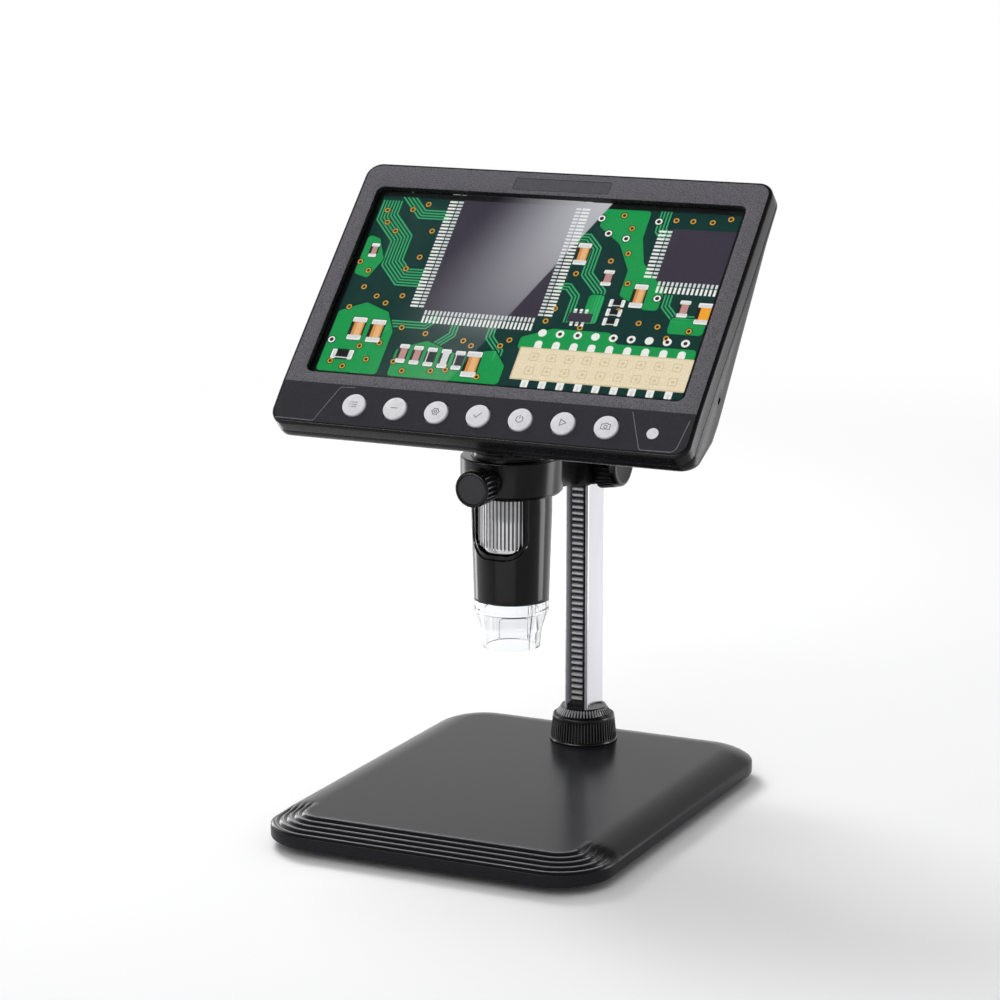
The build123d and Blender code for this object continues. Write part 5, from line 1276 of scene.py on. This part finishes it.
# The board's layout, in millimetres right of and above the screen's middle.
def drawPicture(picture):
    halfX, halfS = pictureShape["halfX"], pictureShape["halfS"]
    edgeX, edgeS = pictureShape["edgeX"], pictureShape["edgeS"]
    picture.box(-edgeX, -edgeS, edgeX, edgeS, "black", 0)
    picture.box(-halfX, -halfS, halfX, halfS, "board", 1)
    for outline in (
            [(-77, -43), (-77, -14), (-66, -9), (-55, -13), (-50, -22), (-50, -43)],
            [(-46, -43), (-46, -30), (-34, -25), (-20, -30), (-4, -27), (2, -34), (2, -43)],
            [(20, 43), (20, 34), (31, 26), (38, 14), (38, 2), (50, -4), (56, -4), (56, 6), (44, 18), (40, 30),
             (40, 43)],
            [(62, -6), (77, -6), (77, -14), (62, -14)], [(-77, 4), (-77, 24), (-71, 22), (-66, 12), (-70, 2)],
            [(4, -20), (16, -15), (40, -15), (44, -20), (77, -20), (77, -26), (4, -26)],
            [(26, -12), (26, 2), (33, 2), (33, -12)]):
        outline = roundedPath(outline, 1.8, 4, True)
        picture.add(outline, "copper", 2)
        picture.line(np.concatenate([outline, outline[:1]]), "outline", 3, 0.5)
    drawBundle(picture, [(-76, 41), (-76, 31), (-66, 21), (-66, 9), (-57, 0), (-46, 0)], 7, 1)
    drawBundle(picture, [(-68, 43), (-58, 33), (-45, 33)], 4, 1)
    drawBundle(picture, [(-61, -43), (-61, -26), (-52, -17), (-38, -17), (-34, -13)], 3, -1)
    drawBundle(picture, [(13, 30), (18, 30), (24, 24), (24, 12), (32, 4), (32, -12)], 4, -1)
    drawBundle(picture, [(12, 6), (17, 6), (22, 1), (22, -12)], 3, -1)
    drawBundle(picture, [(-26, -17), (-26, -21), (-31, -26), (-31, -40)], 3, 1)
    drawBundle(picture, [(-10, -17), (-10, -22), (-4, -28), (-4, -34)], 3, 1)
    drawBundle(picture, [(44, 43), (44, 33), (48, 29)], 4, 1)
    drawBundle(picture, [(57, 4), (57, -2), (63, -8), (77, -8)], 3, 1)
    drawChip(picture, -41, -11, 8, 46, "lrb")
    drawChip(picture, 51, 10, 80, 35, "lb", 1.8, 5.4)
    for x, s in ((-71, 30), (-62, 37), (-50, 27), (-70, -2), (-63, -6), (-58, -9), (-73, -12), (-52, -5), (-47, -20),
                 (-57, -36), (-72, -38), (-66, -40), (-40, -40), (-22, -38), (-15, -26), (-36, -22), (17.5, 11),
                 (29, 40), (34, 34), (36, 22), (30, 18), (40, 8), (40, -5), (71, -12), (58, -11), (58, 39),
                 (66, 39), (73, 41), (0, -22), (-8, -40), (14, -6), (27, -14), (-54, -28), (-76, 10),
                 (-71, 6), (-66, 26), (-73, 36), (-56, 40), (-51, 14), (-55, 8), (-62, -30), (-45, -36), (-28, -39),
                 (-19, -24), (-3, -25), (12, -12), (50, -10), (63, -16), (51, 39)):
        picture.via(x, s)
    for x, s in ((25, 31), (33, 29), (20, 38), (-75, -28), (44, 38), (54, 2)):
        picture.via(x, s, 1.5, "pin")
    for x, s, width, length, body in (
            (-66, -22, 5.2, 9.4, "tan"), (-57.5, -22.5, 5.2, 9.4, "tan"), (17.2, 20.5, 4.6, 9.0, "tan"),
            (46.2, 2.5, 4.6, 9.6, "tan"), (-12, -34.5, 5.4, 10.5, "tan"), (31, 10, 3.4, 6.0, "rose"),
            (-72, 16, 2.6, 5.4, "rose"), (66, -2, 3.4, 6.4, "rose")):
        drawPart(picture, x, s, width, length, body)
    for k, body in enumerate(("rose", "rose", "ink", "silver", "ink")):
        drawPart(picture, -42.5 + 6.1 * k, -32.0 - 0.3 * k, 3.2, 7.4, body)
    for k in range(3):
        drawPart(picture, 38.5, -1.5 - 4.4 * k, 2.6, 5.0, "ink", upright=False)
    drawPart(picture, -68, -34.5, 3.6, 8.0, "ink", upright=False)
    drawPart(picture, 75.2, -3.6, 6.4, 8.4, "amber")
    drawChip(picture, 20.5, -11.4, 30.5, -7.2, "tb", 2.3, 1.9)
    # a two-row connector with its pads above and its solder legs below
    legs = 12.5 + pictureShape["legPitch"] * np.arange(9)
    for k, x in enumerate(legs):
        picture.disc(x, -17.6, 1.75, "pin", 4)
        if k % 3:
            picture.disc(x, -17.6, 0.8, "hole", 5)
        picture.box(x - 1.55, -27.0, x + 1.55, -21.2, "pin", 4, 1.4)
        picture.box(x - 1.5, -43.0, x + 1.5, -39.4, "pin", 4, 0.5)
        picture.box(x - 0.5, -43.0, x + 0.5, -40.6, "silver", 5, 0.3)
    picture.box(5.6, -39.6, halfX, -24.6, "creamDark", 5, 0.4)
    picture.box(6.2, -39.0, halfX, -25.1, "cream", 5.5, 0.3)
    for row in (-28.8, -35.2):
        for x in legs:
            picture.box(x - 1.9, row - 1.9, x + 1.9, row + 1.9, "creamDark", 6, 0.5)
            picture.box(x - 1.5, row - 1.5, x + 1.5, row + 1.5, "cream", 6.5, 0.5)
            picture.disc(x, row, 0.7, "creamDark", 7)
    # the edge of the panel hides what runs past the lit field
    for x0, s0, x1, s1 in ((-edgeX, -edgeS, -halfX, edgeS), (halfX, -edgeS, edgeX, edgeS),
                           (-edgeX, halfS, edgeX, edgeS), (-edgeX, -edgeS, edgeX, -halfS)):
        picture.box(x0, s0, x1, s1, "black", 8)


# Lit liquid crystal panel: the picture's colours shine by themselves. A painted reflection lies across the
# chip as a light streak: white is mixed in on one side of a slanting line, from faint at its lower end to its
# full strength at the upper one. Distances are in millimetres from the screen's middle.
sheenShape = {
    "across": (-0.905, 0.425), "line": -0.9, "blur": 0.3, "reach": 46.0, "faint": 0.06, "strength": 0.62,
    "lowEnd": -24.0, "highEnd": 44.0, "white": "#e6e6ee",
}


def pictureMaterial():
    material, tree, shader = newMaterial("litLiquidCrystal", **{
        "Base Color": linearColour("#060606"), "Roughness": 0.3, "Emission Strength": 1.0})
    paint = addNode(tree, "ShaderNodeAttribute", attribute_name="paint")
    place = addNode(tree, "ShaderNodeTexCoord")
    offset = addNode(tree, "ShaderNodeVectorMath", {
        0: place.outputs["Object"], 1: tuple(displayPlace[0] * mm)}, operation="SUBTRACT")
    across = displayPlace[1] * sheenShape["across"][0] + displayPlace[2] * sheenShape["across"][1]
    distance = addNode(tree, "ShaderNodeVectorMath", {0: offset.outputs["Vector"], 1: tuple(across / mm)},
                       operation="DOT_PRODUCT")
    height = addNode(tree, "ShaderNodeVectorMath", {0: offset.outputs["Vector"], 1: tuple(displayPlace[2] / mm)},
                     operation="DOT_PRODUCT")
    line, blur = sheenShape["line"], sheenShape["blur"]
    edge = addNode(tree, "ShaderNodeMapRange", {
        "Value": distance.outputs["Value"], "From Min": line - blur, "From Max": line + blur})
    fall = addNode(tree, "ShaderNodeMapRange", {
        "Value": distance.outputs["Value"], "From Min": line, "From Max": line + sheenShape["reach"],
        "To Min": 1.0, "To Max": 0.0}, interpolation_type="SMOOTHSTEP")
    rise = addNode(tree, "ShaderNodeMapRange", {
        "Value": height.outputs["Value"], "From Min": sheenShape["lowEnd"], "From Max": sheenShape["highEnd"],
        "To Min": sheenShape["faint"], "To Max": sheenShape["strength"]})
    first = addNode(tree, "ShaderNodeMath", {0: edge.outputs["Result"], 1: fall.outputs["Result"]},
                    operation="MULTIPLY")
    share = addNode(tree, "ShaderNodeMath", {0: first.outputs[0], 1: rise.outputs["Result"]}, operation="MULTIPLY")
    speck = grainNoise(tree, 0.5, 2.0)
    tone = addNode(tree, "ShaderNodeMapRange", {"Value": speck.outputs["Fac"], "To Min": 0.72, "To Max": 1.28})
    grained = addNode(tree, "ShaderNodeVectorMath", {0: paint.outputs["Color"], "Scale": tone.outputs["Result"]},
                      operation="SCALE")
    lit = addNode(tree, "ShaderNodeMix", {
        "Factor": share.outputs[0], 6: grained.outputs["Vector"], 7: linearColour(sheenShape["white"])},
        data_type="RGBA")
    tree.links.new(lit.outputs[2], shader.inputs["Emission Color"])
    return material


def makePicture():
    picture = Picture()
    drawPicture(picture)
    mesh = bpy.data.meshes.new("litPicture")
    points = placed(np.concatenate(picture.points), displayPlace) * mm
    mesh.from_pydata(points.tolist(), [], picture.faces)
    paint = mesh.color_attributes.new("paint", "FLOAT_COLOR", "POINT")
    paint.data.foreach_set("color", np.concatenate(picture.colours).ravel())
    piece = bpy.data.objects.new("litPicture", mesh)
    bpy.context.scene.collection.objects.link(piece)
    settle(piece, "display", "lcd_picture", pictureMaterial())


def makePanel():
    panel = mergedCopy("controlPanel", "control_panel")
    settle(breakEdges(panel, 0.1), "display", "panel_black", fasciaAbs, "control_panel")
    plate = mergedCopy("blankNameplate", "nameplate")
    settle(breakEdges(plate, 0.12), "display", "panel_black", plateAbs, "nameplate")


backShape = {
    # height and depth at the bends of the back, from the top down
    "runs": [(57.4, 8.0), (53.2, 9.5), (-41.0, 20.5), (-50.0, 20.5), (-62.0, 16.1), (-69.3, 12.2)],
    "sharpAbove": 52.5, "round": 3.2,
    "screws": [(79, -62.5), (-79, -62.5), (79, 52), (-79, 52), (30, 52), (-30, 52)], "screwRadius": 2.4,
    "dimmerSpot": (80.6, -51.3), "dimmerRadius": 6.8, "dimmerDepths": (-15.9, -12.1),
    # height, half length and depths of the slots in the left side
    "ports": [(-32.0, 4.1, 10.9, 14.2), (-20.0, 6.3, 10.9, 13.4)],
    "resetHole": (-37.2, -13.1, -34.4, -11.5), "hingePad": (-19, -52.2, 19, -37.3), "padDepths": (-20.9, -17.0),
}


# Depth of the back at height s: straight runs, sampled every 0.1 mm and blended into each other by a
# bell of 4 mm, apart from the sharp ones at the top.
def backDepth(s):
    fine = np.linspace(-80, 70, 1501)
    bends = np.array(backShape["runs"])[::-1]
    runs = np.interp(fine, bends[:, 0], bends[:, 1])
    bell = np.hanning(41)
    smooth = np.convolve(np.pad(runs, 20, mode="edge"), bell / bell.sum(), mode="valid")
    smooth = np.where(fine > backShape["sharpAbove"], runs, smooth)
    return np.interp(s, fine, smooth)


# The rear shell: loops down the wall, a quarter round into the back, then loops drawn in to the middle.
def makeRearShell():
    shape, back = caseShape, backShape
    seam, wall, edge = shape["seam"], shape["wall"], back["round"]
    rows = []

    def addLoop(loop, depth):
        rows.append(np.column_stack([loop, -np.broadcast_to(depth, len(loop))]))

    middle = np.array([0, (shape["top"] + shape["bottom"]) / 2])
    inner = caseLoop(wall)
    for share in (0.1, 0.4, 0.7, 1.0):
        loop = middle + (inner - middle) * share
        addLoop(loop, np.maximum(backDepth(loop[:, 1]) - wall, seam + 0.3))
    for loop, rise in ((inner, 0), (caseLoop(0.3), 0), (caseLoop(0.12), 0.06), (caseLoop(0), 0.25)):
        addLoop(loop, seam + rise)
    # the quarter round is smaller where the wall is low
    outer = caseLoop(0)
    reach = np.minimum(edge, (backDepth(outer[:, 1]) - seam - 0.3) * 0.75)
    for turn in np.linspace(0, math.pi / 2, 8):
        drawnIn = caseLoop(edge * (1 - math.cos(turn)))
        loop = outer + (drawnIn - outer) * (reach / edge)[:, None]
        addLoop(loop, backDepth(loop[:, 1]) - reach * (1 - math.sin(turn)))
    last = rows[-1][:, :2]
    for share in (0.97, 0.93, 0.88, 0.8, 0.7, 0.6, 0.5, 0.4, 0.3, 0.2, 0.1):
        loop = middle + (last - middle) * share
        addLoop(loop, backDepth(loop[:, 1]))
    piece = gridPiece("rearCover", np.array(rows), displayPlace, sharpAngle=35)
    cutters = []
    for x, s in back["screws"]:
        deep = float(backDepth(np.array([s]))[0])
        hole = circleOutline(x, s, back["screwRadius"], 32)
        cutters.append(prismPiece("screwCutter", hole, -deep - 3, -deep + 2.4, displayPlace))
    dimmer = circleOutline(*back["dimmerSpot"], back["dimmerRadius"], 64)
    cutters.append(prismPiece("dimmerCutter", dimmer, *back["dimmerDepths"], displayPlace))
    sidePlace = axes(displayPlace[0], displayPlace[2], displayPlace[3], displayPlace[1])
    for s, half, low, high in back["ports"]:
        slot = roundedBox(s - half, -high, s + half, -low, 0.9, 4)
        cutters.append(prismPiece("portCutter", slot, -90, -80, sidePlace))
    cutters.append(prismPiece("resetCutter", roundedBox(*back["resetHole"], 0.5, 3), 83, 90, sidePlace))
    cutAway(piece, cutters, 35)
    plate = prismPiece("hingePad", roundedBox(*back["hingePad"], 1.5, 4), *back["padDepths"], displayPlace)
    whole = joined("rearCase", [piece, plate])
    breakEdges(whole, 0.15, 2, 40)
    settle(whole, "display", "case_black", caseAbs, "rear_shell")


buttonShape = {
    # radius and height from the crown down, and how far each corner is rounded
    "outline": [(0, 1.0), (4.75, 0.88), (4.75, -2.47), (5.9, -2.47), (5.9, -3.27), (1.5, -3.27), (1.5, -4.47),
                (0, -4.47)],
    "rounds": [0, 0.5, 0, 0.1, 0.1, 0, 0.1, 0],
    "crown": 1.0, "fall": 0.0253, "stroke": 0.3, "rise": 0.02, "sink": 0.12,
}


def arcPoints(x, y, radius, start, sweep, count=28):
    turn = np.radians(start) + np.radians(sweep) * np.linspace(0, 1, count)
    return np.stack([x + radius * np.cos(turn), y + radius * np.sin(turn)], axis=-1)


def ringPoints(x, y, radius):
    return arcPoints(x, y, radius, 0, 360, 33)[:-1]


# A path with points put in, so that no step is longer than asked.
def finerPath(points, step, closed):
    points = np.asarray(points, float)
    ends = np.concatenate([points, points[:1]]) if closed else points
    made = []
    for start, end in zip(ends[:-1], ends[1:]):
        count = max(1, math.ceil(np.linalg.norm(end - start) / step))
        made.append(start + (end - start) * np.arange(count)[:, None] / count)
    if not closed:
        made.append(ends[-1:])
    return np.concatenate(made)


# The printed signs, as strokes in millimetres: their points, and whether the stroke closes on itself.
buttonSigns = {
    "menu": [([(-0.8, level), (1.5, level)], False) for level in (1.0, 0.0, -1.0)]
    + [([(-1.6, level), (-1.2, level)], False) for level in (1.0, 0.0, -1.0)],
    "minus": [([(-1.5, 0.0), (1.5, 0.0)], False)],
    "settings": [(ringPoints(0, 0, 1.25), True), (ringPoints(0, 0, 0.5), True)]
    + [(arcPoints(0, 0, 1, turn, 0, 2) * [[1.35], [1.8]], False) for turn in range(0, 360, 60)],
    "confirm": [([(-1.5, 0.1), (-0.4, -1.1), (1.6, 1.2)], False)],
    "power": [(arcPoints(0, -0.1, 1.4, 120, 300), False), ([(0, 0.2), (0, 1.7)], False)],
    "play": [([(-0.9, -1.35), (1.5, 0.0), (-0.9, 1.35)], True)],
    "camera": [(roundedPath([(-1.8, -1.2), (1.8, -1.2), (1.8, 0.9), (0.9, 0.9), (0.6, 1.35), (-0.6, 1.35),
                             (-0.9, 0.9), (-1.8, 0.9)], 0.15, 2, True), True), (ringPoints(0, -0.15, 0.65), True)],
}


# Buttons: a turned cap with a domed top, and its sign printed a hair above it. The sign's level falls
# with the way from the middle, as the dome does.
def makeButtons():
    shape = buttonShape
    outline = roundedPath(shape["outline"], shape["rounds"], 6)
    for (name, strokes), (x, s) in zip(buttonSigns.items(), buttonSpots):
        place = fasciaPlace.copy()
        place[0] = placed([x, s, 0], fasciaPlace)
        parts = [turnedPiece("cap", outline, place, 72)]
        for points, closed in strokes:
            points = finerPath(points, 0.3, closed)
            level = shape["crown"] - shape["fall"] * np.linalg.norm(points, axis=1)
            parts.append(strokePiece("sign", points, shape["stroke"], level - shape["sink"], level + shape["rise"],
                                     place, closed, slot=1))
        settle(joined(name + "Button", parts), "button_" + name, "button_white", [buttonAbs, printGrey],
               "button_" + name)


makeBezel()
makeGlass()
makePicture()
makePanel()
makeRearShell()
makeButtons()
print("display made")

# Construction nodes that keep their own shape get their finish here.
plainNodes = {
    "base_pan": panSteel, "ballast_plate": panSteel, "base_screws": screwMetal, "column_socket": knobAbs,
    "column_bolt": screwMetal, "rack": rackLightShadeMetal, "slide_bushes": nylonWhite, "arm_screws": screwMetal,
    "clamp_insert": brassMetal, "pinion": pinMetal, "pinion_shaft": pinMetal, "clamp_screw": pinMetal,
    "sensor_holder": knobAbs, "sensor_board": boardGreen, "led_board": boardGreen, "lens_carrier": knobAbs,
    "objective_lens": lensGlass, "lens_retainer": brassMetal, "hinge_bracket": armAbs, "hinge_pin": pinMetal,
    "hinge_washers": nylonWhite, "display_screws": screwMetal, "lcd_panel": knobAbs,
    "backlight_unit": nylonWhite, "support_frame": panSteel, "main_board": boardGreen, "battery": wrapBlue,
    "usb_port": portMetal, "card_slot": portMetal, "button_board": boardGreen, "indicator_lens": buttonAbs,
    "dimmer_pot": knobAbs, "dimmer_wheel": knobAbs,
}
for node, material in plainNodes.items():
    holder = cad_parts[node]
    holder.data.materials.clear()
    holder.data.materials.append(material)
print("finishes given")
